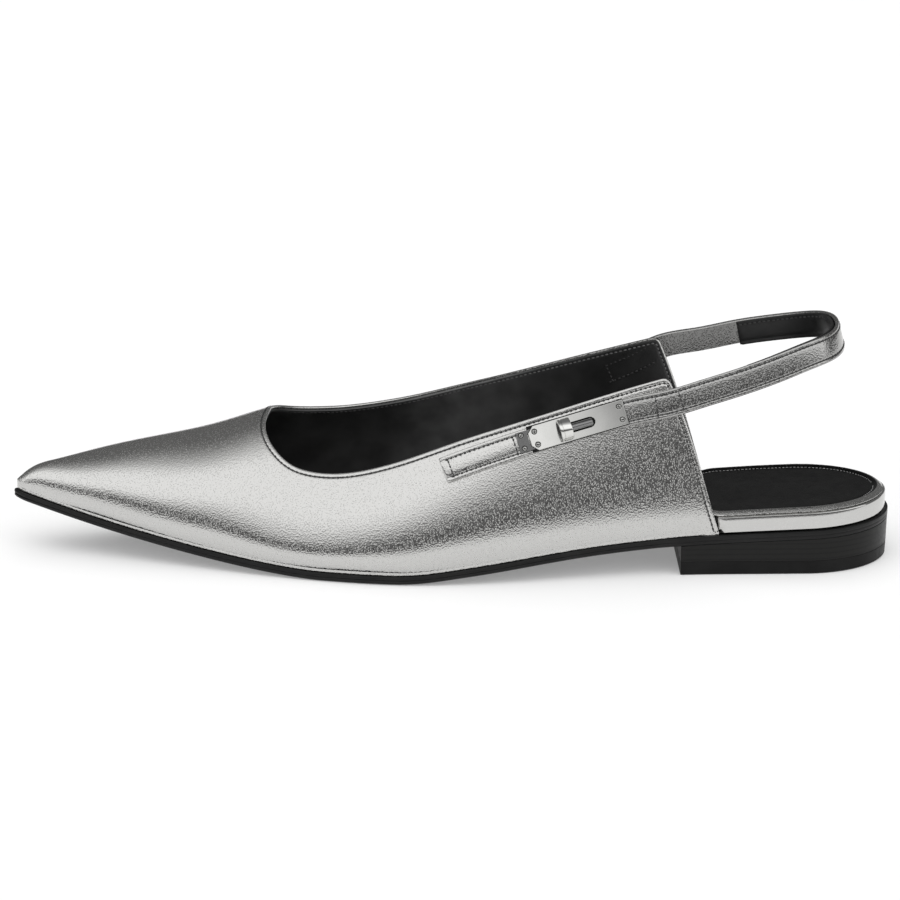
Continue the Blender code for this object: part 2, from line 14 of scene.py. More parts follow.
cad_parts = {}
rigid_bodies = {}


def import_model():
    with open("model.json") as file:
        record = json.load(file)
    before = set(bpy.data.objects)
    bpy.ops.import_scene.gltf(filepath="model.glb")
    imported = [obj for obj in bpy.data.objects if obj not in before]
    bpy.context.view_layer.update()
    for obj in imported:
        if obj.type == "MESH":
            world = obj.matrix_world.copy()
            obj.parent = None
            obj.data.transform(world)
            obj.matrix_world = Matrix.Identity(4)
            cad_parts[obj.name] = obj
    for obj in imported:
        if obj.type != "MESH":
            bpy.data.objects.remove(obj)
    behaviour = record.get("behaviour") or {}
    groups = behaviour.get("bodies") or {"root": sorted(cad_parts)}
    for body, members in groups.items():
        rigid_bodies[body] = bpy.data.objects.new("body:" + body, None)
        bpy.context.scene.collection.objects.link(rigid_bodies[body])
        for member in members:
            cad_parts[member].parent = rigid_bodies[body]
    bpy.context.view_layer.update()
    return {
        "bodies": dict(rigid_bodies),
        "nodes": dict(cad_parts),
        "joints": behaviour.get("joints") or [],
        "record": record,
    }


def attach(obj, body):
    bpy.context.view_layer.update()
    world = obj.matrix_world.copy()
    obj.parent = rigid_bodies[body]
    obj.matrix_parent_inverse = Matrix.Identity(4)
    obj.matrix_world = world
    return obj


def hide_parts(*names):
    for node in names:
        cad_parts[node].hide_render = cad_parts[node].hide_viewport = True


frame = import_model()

MM = 0.001
LATERAL = -1
MEDIAL = 1
SIDES = (LATERAL, MEDIAL)

# Driving sizes of the shoe.
SHOE_LENGTH = 277
NOSE_LENGTH = 4
SEAT_ROUND = 27.5
END_REACH = 40
SOLE_THICKNESS = 3.4
SOLE_PROUD = 1
WALL = 1.8
GAP = 0.3

# The sole seen from above: how far its edge lies from the centre line on each side.
SOLE_OUTLINE = [
    # station, lateral, medial
    (0, -1.7, 6.3), (21, 7, 14.2), (41, 14.5, 20.6), (61, 21.5, 26.6),
    (81, 28, 32), (101, 33.4, 36), (121, 36.8, 36), (139, 37, 32.6),
    (161, 34.6, 27.4), (186, 30.4, 23.8), (211, 27.4, 24.2), (236, 26.6, 25.6),
    (256, 26, 25.6), (277, 25.2, 25.2),
]

# The underside stands on the floor between these stations, and springs up in front of them.
BALL_FRONT = 98
BALL_BACK = 123
TOE_SPRING = 15.9
TOE_SPRING_POWER = 1.45
ARCH_LINE = [
    # station, height of the underside
    (123, 0), (129, 0.35), (139, 1.6), (151, 3.2), (166, 5.3), (181, 7.1),
    (196, 8.4), (213, 9.6), (241, 10.9), (277, 12.2),
]

# The last above the feather line. Each section is one soft curve from the feather to the crown.
# Behind the throat the crown is only the height that the walls would meet at.
LAST_SECTIONS = [
    # station, crown height, crown side, wall handle, feather roll,
    # then wall bulge and crown handle of the lateral side, and the same two of the medial side
    (0, 20.5, 4, 0.55, 0, 0.3, 0.5, 0.3, 0.5),
    (5.5, 25.2, 3.9, 0.55, 0, 0.8, 0.5, 0.8, 0.5),
    (13, 28, 3.7, 0.54, 0, 1.2, 0.48, 1.2, 0.48),
    (26, 31.4, 3.3, 0.37, 0.3, 2.4, 0.7, 2.4, 0.7),
    (46, 36, 2.7, 0.46, 0.8, 1.7, 0.52, 1.7, 0.52),
    (66, 40.6, 2.1, 0.59, 1.7, -2.4, 0.43, -2.2, 0.44),
    (82, 45.6, 1.6, 0.46, 1.8, -3.8, 0.42, -1.8, 0.5),
    (101, 49.2, 1.2, 0.34, 1.9, -1.5, 0.44, 1.4, 0.68),
    (131, 60.6, 0.8, 0.39, 1.5, -0.2, 0.39, 2.2, 0.74),
    (166, 82, 0.6, 0.34, 1.3, -2.2, 0.36, 1.5, 0.74),
    (206, 99, 0.5, 0.29, 1.4, -4.2, 0.29, 0.5, 0.7),
    (223, 105, 0.5, 0.27, 1.5, -5.4, 0.38, 0, 0.68),
]
# The share of a section's curve in which the wall rolls out from the feather.
ROLL_REACH = 0.16

# The throat and topline on each side, from the middle of the throat to the rear edge. The share is
# how far up a section's curve the edge lies, from 0 at the feather to 1 at the crown.
TOPLINE = {
    # station, share
    LATERAL: [
        (82.1, 1), (81.4, 0.9), (80.9, 0.8), (81.4, 0.717), (84.7, 0.591), (90, 0.517),
        (96.6, 0.493), (106.2, 0.484), (118, 0.482), (136.7, 0.473), (162, 0.451),
        (184, 0.45), (205.5, 0.46),
    ],
    MEDIAL: [
        (82.1, 1), (82.6, 0.93), (84.2, 0.855), (86.8, 0.788), (90.6, 0.738), (96.8, 0.694),
        (103.1, 0.66), (110, 0.63), (122.4, 0.583), (135.3, 0.542), (154.6, 0.502),
        (180, 0.492), (204.5, 0.498),
    ],
}
QUARTER_FRONT = 95
THROAT_FEATHER = 66
QUARTER_END_FEATHER = 221.4
REAR_EDGE_BOW = 1.4

# The columns of the upper stand closer together at the tip and at the throat.
TIP_EASE = 1.35
THROAT_EASE = 1.1

# The heel and what lies on the sole.
HEEL_BREAST = 209.8
TOP_PIECE_HEIGHT = 4
BOARD_FRONT = 16
BOARD_THICKNESS = [
    # station, thickness
    (16, 2.2), (121, 2.6), (201, 4.2), (277, 4.7),
]
BOARD_CLEARANCE = 0.4
SOCK_INSET = 0.8
SEAT_START = 221.9

# The strip, the lock and the strap follow the topline at this distance under it.
STRIP_DROP = {
    # station, distance
    LATERAL: [(136, 7), (165, 6.4), (190, 6.8), (206, 8)],
    MEDIAL: [(185, 9.2), (196, 7.2), (205, 4.8)],
}
STRIP_WIDTH = 8.1
STRIP_THICKNESS = 1.4
STRIP_LIFT = GAP + 0.05
TAB_FRONT = 136.5
TAB_END = 176
STRAP_FRONT = 176.6
STRAP_WIDTH = 8.4
STRAP_LEAVES = 205
STRAP_MEDIAL_END = 188
FREE_STRAP = [
    # along, across, height, tilt of the outer face in degrees
    (77, -20.8, 56.4, 17), (88, -21.3, 60.2, 17), (99, -20, 63.9, 17),
    (109, -16.3, 67, 16), (117.2, -9.6, 68.7, 15), (120.6, 0, 69.9, 15),
    (118.6, 9.5, 70.5, 15), (112, 15.8, 69.1, 15), (103, 19.4, 67.2, 14),
    (91, 20.9, 65, 13), (79, 20.6, 62.6, 12),
]
GRIP_WIDTH = 9.2
GRIP_THICKNESS = 0.9
GRIP_FROM = 91

# The lock, in its own plane. Its middle lies on the strip at this station.
LOCK_STATION = 177.2
PLATE_LENGTH = 30.7
PLATE_HEIGHT = 7.7
PLATE_THICKNESS = 1.1
PLATE_CHAMFER = 1.9
END_PLATE_LENGTH = 3.7
END_PLATE_HEIGHT = 6.3
SLOT_LENGTH = 9.6
SLOT_HEIGHT = 3
SLOT_MIDDLE = 0.7
SCREW_RADIUS = 0.7
SCREW_HEIGHT = 0.45
SCREW_SPACING = 4.1
SCREW_FROM_FRONT = 2
SCREW_FROM_BACK = 1.6
SCREW_FROM_END = 1.4
END_PLATE_FLARE = 1.3
KNOB_RADIUS = 3.4
KNOB_LENGTH = 3.8
KNOB_MIDDLE = -4.2
KNOB_RISE = 0.9
STEM_RADIUS = 1.15
STEM_LENGTH = 6.9


class Curve:
    """A smooth line through the rows of a table: a natural cubic spline of one column."""

    def __init__(self, rows, column=1):
        self.x = np.array([row[0] for row in rows], float)
        self.y = np.array([row[column] for row in rows], float)
        gaps = np.diff(self.x)
        slopes = np.diff(self.y) / gaps
        matrix = np.eye(len(self.x))
        right = np.zeros(len(self.x))
        for i in range(1, len(self.x) - 1):
            matrix[i, i - 1: i + 2] = gaps[i - 1], 2 * (gaps[i - 1] + gaps[i]), gaps[i]
            right[i] = 6 * (slopes[i] - slopes[i - 1])
        self.bend = np.linalg.solve(matrix, right)

    def __call__(self, x):
        i = np.clip(np.searchsorted(self.x, x) - 1, 0, len(self.x) - 2)
        gap = self.x[i + 1] - self.x[i]
        low = (self.x[i + 1] - x) / gap
        high = (x - self.x[i]) / gap
        line = low * self.y[i] + high * self.y[i + 1]
        low_bend = (low ** 3 - low) * self.bend[i]
        high_bend = (high ** 3 - high) * self.bend[i + 1]
        return line + (low_bend + high_bend) * gap * gap / 6


OUTLINE = {LATERAL: Curve(SOLE_OUTLINE, 1), MEDIAL: Curve(SOLE_OUTLINE, 2)}
ARCH = Curve(ARCH_LINE)
BOARD_DEPTH = Curve(BOARD_THICKNESS)
CROWN_HEIGHT, CROWN_SIDE, WALL_HANDLE, FEATHER_ROLL = (
    Curve(LAST_SECTIONS, column) for column in range(1, 5)
)
WALL_BULGE = {LATERAL: Curve(LAST_SECTIONS, 5), MEDIAL: Curve(LAST_SECTIONS, 7)}
CROWN_HANDLE = {LATERAL: Curve(LAST_SECTIONS, 6), MEDIAL: Curve(LAST_SECTIONS, 8)}


def underside(station):
    """Height of the sole's underside: toe spring, flat ball and arch."""
    ahead = np.maximum(0, (BALL_FRONT - station) / BALL_FRONT)
    arch = np.where(station > BALL_BACK, np.maximum(0, ARCH(station)), 0)
    return TOE_SPRING * ahead ** TOE_SPRING_POWER + arch


def sole_top(station):
    return underside(station) + SOLE_THICKNESS


def rounding(station):
    """How much of its width the outline has at a station, near its rounded ends."""
    to_nose = np.clip(1 - station / NOSE_LENGTH, 0, 1)
    into_seat = np.clip((station - SHOE_LENGTH + SEAT_ROUND) / SEAT_ROUND, 0, 1)
    return np.sqrt((1 - to_nose ** 2) * (1 - into_seat ** 2))


def outline(side, station, inset):
    """The sole's edge moved inwards by inset: its own station, and its place across."""
    middle = (OUTLINE[MEDIAL](station) - OUTLINE[LATERAL](station)) / 2
    half = (OUTLINE[MEDIAL](station) + OUTLINE[LATERAL](station)) / 2 - inset
    from_toe = np.maximum(0, 1 - station / END_REACH)
    from_heel = np.maximum(0, 1 - (SHOE_LENGTH - station) / END_REACH)
    return station + inset * (from_toe - from_heel), middle + side * half * rounding(station)


def last_point(side, station, share):
    """A point on the outside of the upper: share runs from the feather to the crown."""
    moved, feather_side = outline(side, station, SOLE_PROUD)
    feather_height = sole_top(moved) + GAP
    crown_side = CROWN_SIDE(moved)
    crown_height = CROWN_HEIGHT(moved)
    rise = crown_height - feather_height
    reach = feather_side - crown_side
    bulge = side * WALL_BULGE[side](moved) * rounding(station)
    roll = side * FEATHER_ROLL(moved) * rounding(station)
    controls = (
        (feather_side + roll, feather_height),
        (feather_side + roll + bulge, feather_height + rise * WALL_HANDLE(moved)),
        (crown_side + reach * CROWN_HANDLE[side](moved), crown_height),
        (crown_side, crown_height),
    )
    rest = 1 - share
    weights = (rest ** 3, 3 * rest * rest * share, 3 * rest * share * share, share ** 3)
    across = sum(w * c[0] for w, c in zip(weights, controls))
    across = across - roll * np.clip(1 - share / ROLL_REACH, 0, 1) ** 3
    height = sum(w * c[1] for w, c in zip(weights, controls))
    return np.stack([moved - SHOE_LENGTH / 2, across, height], axis=-1)


def slopes(side, station, share, along, up):
    """How the surface moves over a step to both sides along the shoe, and up its section."""
    ahead = last_point(side, station + along, share) - last_point(side, station - along, share)
    return ahead, last_point(side, station, share + up) - last_point(side, station, share - up)


def share_at(side, station, height):
    """The share of the section's curve at which it reaches a height."""
    low, high = 0, 1
    for _ in range(40):
        middle = (low + high) / 2
        if last_point(side, station, middle)[2] < height:
            low = middle
        else:
            high = middle
    return low


def value_at(place, places, values):
    """The vector at a place, between those of a row."""
    return np.array([np.interp(place, places, values[:, axis]) for axis in range(3)])


def unit(vector):
    return vector / np.linalg.norm(vector)


def run_along(points):
    """The length along a row of points, at each of them."""
    steps = [np.linalg.norm(after - before) for before, after in zip(points, points[1:])]
    return np.concatenate([[0], np.cumsum(steps)])


def topline_curves(side):
    """Station and share along the topline, from the middle of the throat, and its length."""
    rows = TOPLINE[side]
    run = run_along([last_point(side, station, share) for station, share in rows])
    station_of = Curve([(length, row[0]) for length, row in zip(run, rows)])
    share_of = Curve([(length, row[1]) for length, row in zip(run, rows)])
    return station_of, share_of, run[-1]


QUARTER_SHARE = {
    side: Curve([row for row in rows if row[0] > QUARTER_FRONT]) for side, rows in TOPLINE.items()
}
DROP = {side: Curve(rows) for side, rows in STRIP_DROP.items()}


def on_strip(side, station, lift):
    """A point over the quarter on the strip's middle line, and the way that it faces."""
    edge = last_point(side, station, QUARTER_SHARE[side](station))
    share = share_at(side, station, edge[2] - DROP[side](station))
    point = last_point(side, station, share)
    along, up = slopes(side, station, share, 1, 0.01)
    facing = unit(np.cross(along, up) * -side)
    return point + facing * lift, facing


def board_top(station):
    return sole_top(station) + GAP + BOARD_DEPTH(station)


def frame_along(points, tilts):
    """For each point of a path, its way up across the band and the way that its outer face looks."""
    frames = []
    for i, point in enumerate(points):
        along = unit(points[min(i + 1, len(points) - 1)] - points[max(i - 1, 0)])
        level = unit(np.cross(along, (0, 0, 1)))
        tilt = radians(tilts[i])
        facing = level * cos(tilt) + np.array([0, 0, 1]) * sin(tilt)
        facing = unit(facing - along * np.dot(facing, along))
        frames.append((point, np.cross(facing, along), facing))
    return frames


def quarter_path(side, first, last, step):
    """Points of the strip's inner face over the quarter, with the tilt of its outer face."""
    count = max(2, round(abs(last - first) / step))
    stations = [first + (last - first) * i / count for i in range(count + 1)]
    placed = [on_strip(side, station, STRIP_LIFT) for station in stations]
    return [point for point, _ in placed], [degrees(asin(facing[2])) for _, facing in placed]


def path_at(points, tilts, runs):
    """Points and tilts of a path at chosen distances along it."""
    run = run_along(points)
    lines = [Curve(list(zip(run, [point[axis] for point in points]))) for axis in range(3)]
    tilt_line = Curve(list(zip(run, tilts)))
    return [np.array([line(at) for line in lines]) for at in runs], [tilt_line(at) for at in runs]


def strap_path(step):
    """The whole sling strap: lateral quarter, free loop round the back, medial quarter."""
    lateral, lateral_tilts = quarter_path(LATERAL, STRAP_FRONT, STRAP_LEAVES, 5.5)
    medial, medial_tilts = quarter_path(MEDIAL, STRAP_LEAVES, STRAP_MEDIAL_END, 5.5)
    knots = lateral + [np.array(row[:3]) for row in FREE_STRAP] + medial
    tilts = lateral_tilts + [row[3] for row in FREE_STRAP] + medial_tilts
    length = run_along(knots)[-1]
    count = round(length / step)
    return path_at(knots, tilts, [length * i / count for i in range(count + 1)])


def lock_matrix():
    """The lock's plane: its X runs back along the strip, its Y up across it, its Z outwards."""
    ahead, _ = on_strip(LATERAL, LOCK_STATION + PLATE_LENGTH / 2, 0)
    behind, _ = on_strip(LATERAL, LOCK_STATION - PLATE_LENGTH / 2, 0)
    middle, facing = on_strip(LATERAL, LOCK_STATION, STRIP_LIFT + STRIP_THICKNESS + GAP)
    along = unit(ahead - behind)
    facing = unit(facing - along * np.dot(facing, along))
    return middle, along, np.cross(facing, along), facing


def turns(count):
    """Cosines and sines of even steps round a circle."""
    angles = [2 * pi * i / count for i in range(count)]
    return [(cos(angle), sin(angle)) for angle in angles]


def circle_points(x, y, radius, count):
    return [(x + radius * c, y + radius * s) for c, s in turns(count)]


def screw_places():
    """The six screws in the lock's plane, four on the plate and two on the end plate."""
    back = PLATE_LENGTH / 2 - SCREW_FROM_BACK
    front = -PLATE_LENGTH / 2 + SCREW_FROM_FRONT
    end = -PLATE_LENGTH / 2 - END_PLATE_LENGTH + SCREW_FROM_END
    half = SCREW_SPACING / 2
    return [(x, side * half) for x in (back, front, end) for side in (1, -1)]


def screw_holes(radius):
    return [circle_points(x, y, radius, 24) for x, y in screw_places()]


def slot_outline():
    """The slot, with round ends."""
    radius = SLOT_HEIGHT / 2
    reach = SLOT_LENGTH / 2 - radius
    points = []
    for centre, start in ((reach, -90), (-reach, 90)):
        for i in range(7):
            turn = radians(start + 30 * i)
            x = SLOT_MIDDLE + centre + radius * cos(turn)
            points.append((x, radius * sin(turn)))
    return points


# How finely the pieces are drawn.
EDGE_STEP = 1.1
BAND_STEP = 0.9
SOLE_STEP = 1.8
REAR_ROWS = 34
VAMP_COLUMNS = 54
CORNER_RADIUS = 2.4
CORNER_COLUMNS = 4
BAND_WIDTH = 3.5
BAND_DISTANCES = np.array([0, 0.12, 0.35, 0.7, 1.05, 1.3, 1.5, 1.7, 1.95, 2.3, 2.8, BAND_WIDTH])

# Stitches: their size, their outline from end to end, and how far they lie in from an edge.
STITCH_INSET = 1.5
BAND_STITCH_INSET = 1.3
STITCH_PITCH = 1.5
STITCH_RADIUS = 0.3
STITCH_LENGTH = 0.62
STITCH_SIDES = 6
STITCH_PROFILE = ((-0.5, 0.35), (-0.36, 0.8), (0, 1), (0.36, 0.8), (0.5, 0.35))
# Places along the shoe of the rows of stitches that cross the tab and the strap.
TAB_CROSS_SEAMS = (-0.3, 19.3, 21.6)
STRAP_CROSS_SEAMS = (62.4, 70.6)
# How far back along the shoe the strap's end is sewn to the medial quarter.
QUARTER_REAR = 64

# The upper's leather in section, from below its stitched edge, up and over it, and down inside.
# Each pair is the distance from the free edge and the height over the last's surface.
LEATHER_EDGE = [
    (3.5, 0), (2.8, 0.01), (2.3, 0.02), (1.95, 0.01), (1.7, -0.05), (1.5, -0.13), (1.3, -0.05),
    (1.05, 0), (0.7, 0.03), (0.35, 0.01), (0.12, -0.12), (0, -0.45), (0.12, -0.8),
    (0.5, -0.95), (1.6, -0.95),
]
LINING_EDGE = [
    (3.5, -1.8), (2.3, -1.8), (1.7, -1.76), (1.5, -1.66), (1.3, -1.76), (0.9, -1.8),
    (0.6, -1.7), (0.45, -1.45), (0.45, -1.2), (0.6, -1.02), (1.6, -0.99),
]
# The covers of the upper and the board reach this far down over the sole's edge.
FEATHER_DROP = 0.8
# Below the feather: the drop, and how far inside the leather's face.
HEM = [(-0.45, 0.01), (-0.85, -0.02), (-0.95, -0.12), (-1.03, -0.45), (-1.05, -1.6)]

# The sole's edge in section: how far in from the outline, and the height over the underside.
SOLE_WALL = SOLE_THICKNESS - FEATHER_DROP
SOLE_EDGE = [
    (12, 0), (4, 0), (1, 0.03), (0.55, 0.12), (0.2, 0.34), (0.05, 0.62), (0, 0.95),
    (0.02, 1.12), (0.25, 1.26), (0.3, 1.36), (0.25, 1.46), (0.02, 1.6), (0, 1.8),
    (0.03, SOLE_WALL - 0.4), (0.12, SOLE_WALL - 0.15), (0.35, SOLE_WALL - 0.02), (0.8, SOLE_WALL),
]
# The padded sock in section: how far in from its own edge, and the height over the board's gap.
SOCK_PADDING = [
    (0.3, -0.25), (0, -0.05), (0.02, 0.08), (0.27, 0.28), (0.62, 0.56), (1, 0.82), (1.4, 0.98),
    (1.8, 1.02), (2.3, 0.88), (2.7, 0.52), (2.9, 0.33), (3.1, 0.28), (3.4, 0.36), (4.5, 0.38),
    (8, 0.28), (12, 0.22), (17, 0.2),
]
# Its row of stitches: how far in from its edge, and the height over the board's gap.
SOCK_STITCHES = (3.1, 0.34)
# The rows of the sock's section that the silver cover reaches over.
RIM_ROWS = [0, 1, 2, 3, 4, 5, 6]

# Light by the angle over the horizon, from the camera's side (0) over the top (90) to behind (180).
SKY = [
    (0, 0.6), (3.5, 0.26), (7.5, 0.07), (11, 0.08), (19, 0.42), (24, 0.95), (30, 1.32),
    (61, 1.32), (70, 0.85), (80, 0.52), (92, 0.28), (104, 0.19), (180, 0.16),
]
LAMP_WATTS = 51
LAMP_SIZE = (3, 4.4)
LAMP_PLACE = (0, 0.7, 2)
FLOOR_REACH = 9
FLOOR_GLOW = 0.26
# Painted sheen: how pale the lining's colour is made along the shoe, from 50 mm before its middle (0)
# to 60 mm behind it (1).
PAINTED_SHEEN = [(0, 0.45), (0.27, 0.5), (0.36, 0.85), (0.45, 1), (0.56, 0.8), (0.73, 0.4), (0.9, 0.2)]
CAMERA_PLACE = (0, -0.8616, 0.2924)
CAMERA_TILT = 73.2
CAMERA_LENS = 114.23

# The materials by name, as they are made.
FINISHES = {}


def metres(point):
    return (point[0] * MM, point[1] * MM, point[2] * MM)


class Shape:
    """Points in millimetres, and the faces between them with their materials."""

    def __init__(self):
        self.points = []
        self.faces = []
        self.finishes = []

    def row(self, points):
        start = len(self.points)
        self.points.extend(points)
        return list(range(start, len(self.points)))

    def face(self, corners, finish=0):
        self.faces.append(tuple(corners))
        self.finishes.append(finish)

    def strip(self, near, far, turned=False, closed=False, finish=0, marked=()):
        """Faces between two rows of points; the marked ones have the second finish."""
        count = len(near)
        for i in range(count if closed else count - 1):
            j = (i + 1) % count
            corners = (near[i], far[i], far[j], near[j])
            self.face(corners[::-1] if turned else corners, 1 if i in marked else finish)

    def skin(self, rows, turned):
        for near, far in zip(rows, rows[1:]):
            self.strip(near, far, turned)

    def tube(self, rings, finish=0, marked=()):
        """A closed solid through rings with the same count of points."""
        loops = [self.row(ring) for ring in rings]
        for near, far in zip(loops, loops[1:]):
            self.strip(near, far, closed=True, finish=finish, marked=marked)
        self.face(loops[0], finish)
        self.face(loops[-1][::-1], finish)


def add_object(name, data):
    item = bpy.data.objects.new(name, data)
    bpy.context.scene.collection.objects.link(item)
    return item


def dress(name, data, finishes, node, sharp, place=None):
    """Makes a mesh an object that rides on the shoe and stands for a CAD node."""
    for finish in finishes:
        data.materials.append(FINISHES[finish])
    data.shade_smooth()
    data.set_sharp_from_angle(angle=radians(sharp))
    piece = add_object(name, data)
    if place is not None:
        piece.matrix_world = place
    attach(piece, "root")
    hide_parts(node)


def add_piece(name, shape, finishes, node, merge=0, sharp=40):
    data = bpy.data.meshes.new(name)
    data.from_pydata([metres(point) for point in shape.points], [], shape.faces)
    data.polygons.foreach_set("material_index", shape.finishes)
    mesh = bmesh.new()
    mesh.from_mesh(data)
    if merge:
        bmesh.ops.remove_doubles(mesh, verts=mesh.verts, dist=merge * MM)
    else:
        bmesh.ops.recalc_face_normals(mesh, faces=mesh.faces)
    mesh.to_mesh(data)
    mesh.free()
    dress(name, data, finishes, node, sharp)


def last_facing(side, station, share):
    """The way that the last's surface faces at each place."""
    station = np.clip(station, 0.06, SHOE_LENGTH - 1)
    share = np.clip(share, 0.012, 0.988)
    along, up = slopes(side, station, share, 0.03, 0.01)
    facing = np.cross(along, up) * -side
    return facing / np.linalg.norm(facing, axis=-1, keepdims=True)


def bowed(foot, top, ups, bow):
    """Places on the last up a line whose middle is moved back by a bow."""
    return foot + (top - foot) * ups + np.array([bow, 0]) * 4 * ups * (1 - ups)


def free_edge(side):
    """Station and share along the topline, round its rear corner and down the rear edge."""
    station_of, share_of, length = topline_curves(side)
    count = round((length - CORNER_RADIUS) / EDGE_STEP)
    runs = np.linspace(0, length - CORNER_RADIUS, count + 1)
    top = np.stack([station_of(runs), share_of(runs)], axis=-1)
    corner = np.array(TOPLINE[side][-1])
    foot = np.array([QUARTER_END_FEATHER, 0])
    rear_length = np.linalg.norm(last_point(side, *corner) - last_point(side, *foot))
    ups = np.linspace(1 - CORNER_RADIUS / rear_length, 0, REAR_ROWS + 1)[:, None]
    rear = bowed(foot, corner, ups, REAR_EDGE_BOW)
    turn = np.linspace(0, 1, CORNER_COLUMNS + 2)[1:-1, None]
    round_corner = top[-1] * (1 - turn) ** 2 + corner * 2 * turn * (1 - turn) + rear[0] * turn ** 2
    return top, round_corner, rear


def move_inwards(side, params, along, distance):
    """Moves places on the last by a distance, square to the edge that runs along."""
    station, share = params[:, 0], params[:, 1]
    ahead, up = slopes(side, station, share, 0.1, 0.005)
    by_station = ahead / 0.2
    by_share = up / 0.01
    facing = np.cross(by_station, by_share) * -side
    inwards = np.cross(along, facing) * -side
    inwards /= np.linalg.norm(inwards, axis=-1, keepdims=True)
    a = np.sum(by_station * by_station, axis=-1)
    b = np.sum(by_station * by_share, axis=-1)
    c = np.sum(by_share * by_share, axis=-1)
    p = np.sum(by_station * inwards, axis=-1)
    q = np.sum(by_share * inwards, axis=-1)
    off_ridge = np.clip((1 - share) / 0.12, 0, 1)
    move = np.stack([p * c - q * b, (q * a - p * b) * off_ridge], axis=-1)
    return params + move / (a * c - b * b)[:, None] * distance


def edge_band(side):
    """Places on the last by column along the free edge and by distance from it."""
    top, round_corner, rear = free_edge(side)
    parts = []
    for params in (top, rear):
        along = np.gradient(last_point(side, params[:, 0], params[:, 1]), axis=0)
        places = [params]
        for step in np.diff(BAND_DISTANCES):
            places.append(move_inwards(side, places[-1], along, step))
        parts.append(np.stack(places, axis=1))
    inner = parts[0][-1, -1]
    share_in = (BAND_DISTANCES / BAND_WIDTH)[None, :, None]
    parts[1][0] = parts[1][0, 0] * (1 - share_in[0]) + inner * share_in[0]
    corner = round_corner[:, None, :] * (1 - share_in) + inner * share_in
    return np.concatenate([parts[0], corner, parts[1]]), len(top)


def upper_grid(band, top_count):
    """Places on the last by column from the tip to the rear, and by row from the feather up."""
    ups = np.linspace(0, 1, REAR_ROWS + 1)[:, None]
    ridge_end = band[0, -1, 0]
    feather_end = band[-1, -1, 0]
    columns = []
    for i in range(VAMP_COLUMNS):
        eased = (i / VAMP_COLUMNS) ** TIP_EASE
        foot = np.array([THROAT_FEATHER * eased, 0])
        crown = np.array([ridge_end * eased, 1])
        columns.append(foot + (crown - foot) * ups)
    for j in range(top_count):
        behind = j / (top_count - 1)
        foot = np.array([THROAT_FEATHER + (feather_end - THROAT_FEATHER) * behind ** THROAT_EASE, 0])
        columns.append(bowed(foot, band[j, -1], ups, REAR_EDGE_BOW * behind ** 3))
    columns[-1] = band[::-1][: REAR_ROWS + 1, -1]
    return np.stack(columns)


def on_last(side, places):
    """The points of a grid of places on the last, and the ways that they face."""
    station, share = places[..., 0], places[..., 1]
    return last_point(side, station, share), last_facing(side, station, share)


def from_edge(points, facings, distance):
    """The point of one column at a distance from the free edge, and the way that it faces."""
    return [value_at(distance, BAND_DISTANCES, values) for values in (points, facings)]


def edge_section(points, facings, edge):
    """One column of the worked edge, from its distances and heights."""
    profile = []
    for distance, height in edge:
        at, out = from_edge(points, facings, distance)
        profile.append(at + out * height)
    return profile


def lay_upper(edge, depth, hem, turned):
    """One layer of the upper: its wall, its worked free edge, and its hem if it has one."""
    shape = Shape()
    for side in SIDES:
        band, top_count = edge_band(side)
        points, facing = on_last(side, upper_grid(band, top_count))
        facing[0, :, 1] = 0
        wall = [shape.row(column) for column in points + facing * depth]
        band_points, band_facing = on_last(side, band)
        columns = [shape.row(edge_section(*column, edge)) for column in zip(band_points, band_facing)]
        flip = turned == (side == LATERAL)
        shape.skin(wall, flip)
        shape.skin(columns, flip)
        if hem:
            foot = np.concatenate([points[:, 0], band_points[-1, ::-1][1:]])
            out = np.concatenate([facing[:, 0], band_facing[-1, ::-1][1:]])
            rows = [shape.row(foot + out * depth)]
            for drop, inwards in hem:
                rows.append(shape.row(foot + out * inwards + np.array([0, 0, drop])))
            shape.skin(rows, not flip)
    return shape


def edge_line(side, height):
    """Points and facings of the row of stitches along the free edge, at a height over the last."""
    band, _ = edge_band(side)
    places = [from_edge(*column, STITCH_INSET) for column in zip(*on_last(side, band))]
    line = np.array([at + out * height for at, out in places])
    return line, np.array([out for _, out in places])


def sew(shape, line, faces, pitch=STITCH_PITCH, radius=STITCH_RADIUS, first=0.6):
    """Lays stitches along a line, with a dark disc of painted shade for the needle hole between each
    and the next.
    """
    run = run_along(line)
    length = pitch * STITCH_LENGTH
    place = first
    while place < run[-1] - first:
        centre = value_at(place, run, line)
        along = unit(value_at(place + 0.3, run, line) - centre)
        across = unit(np.cross(value_at(place, run, faces), along))
        normal = np.cross(along, across)
        rings = []
        for at, size in STITCH_PROFILE:
            middle = centre + along * at * length
            outs = [normal * c * 0.8 + across * s for c, s in turns(STITCH_SIDES)]
            rings.append([middle + out * radius * size for out in outs])
        shape.tube(rings)
        # The needle hole is a flat black disc just under the surface: painted shade for the hole's
        # recess.
        hole = centre + along * pitch / 2 - normal * 0.03
        ring = [hole + (along * c + across * s) * radius * 0.7 for c, s in turns(STITCH_SIDES)]
        shape.face(shape.row(ring)[::-1], 1)
        place += pitch


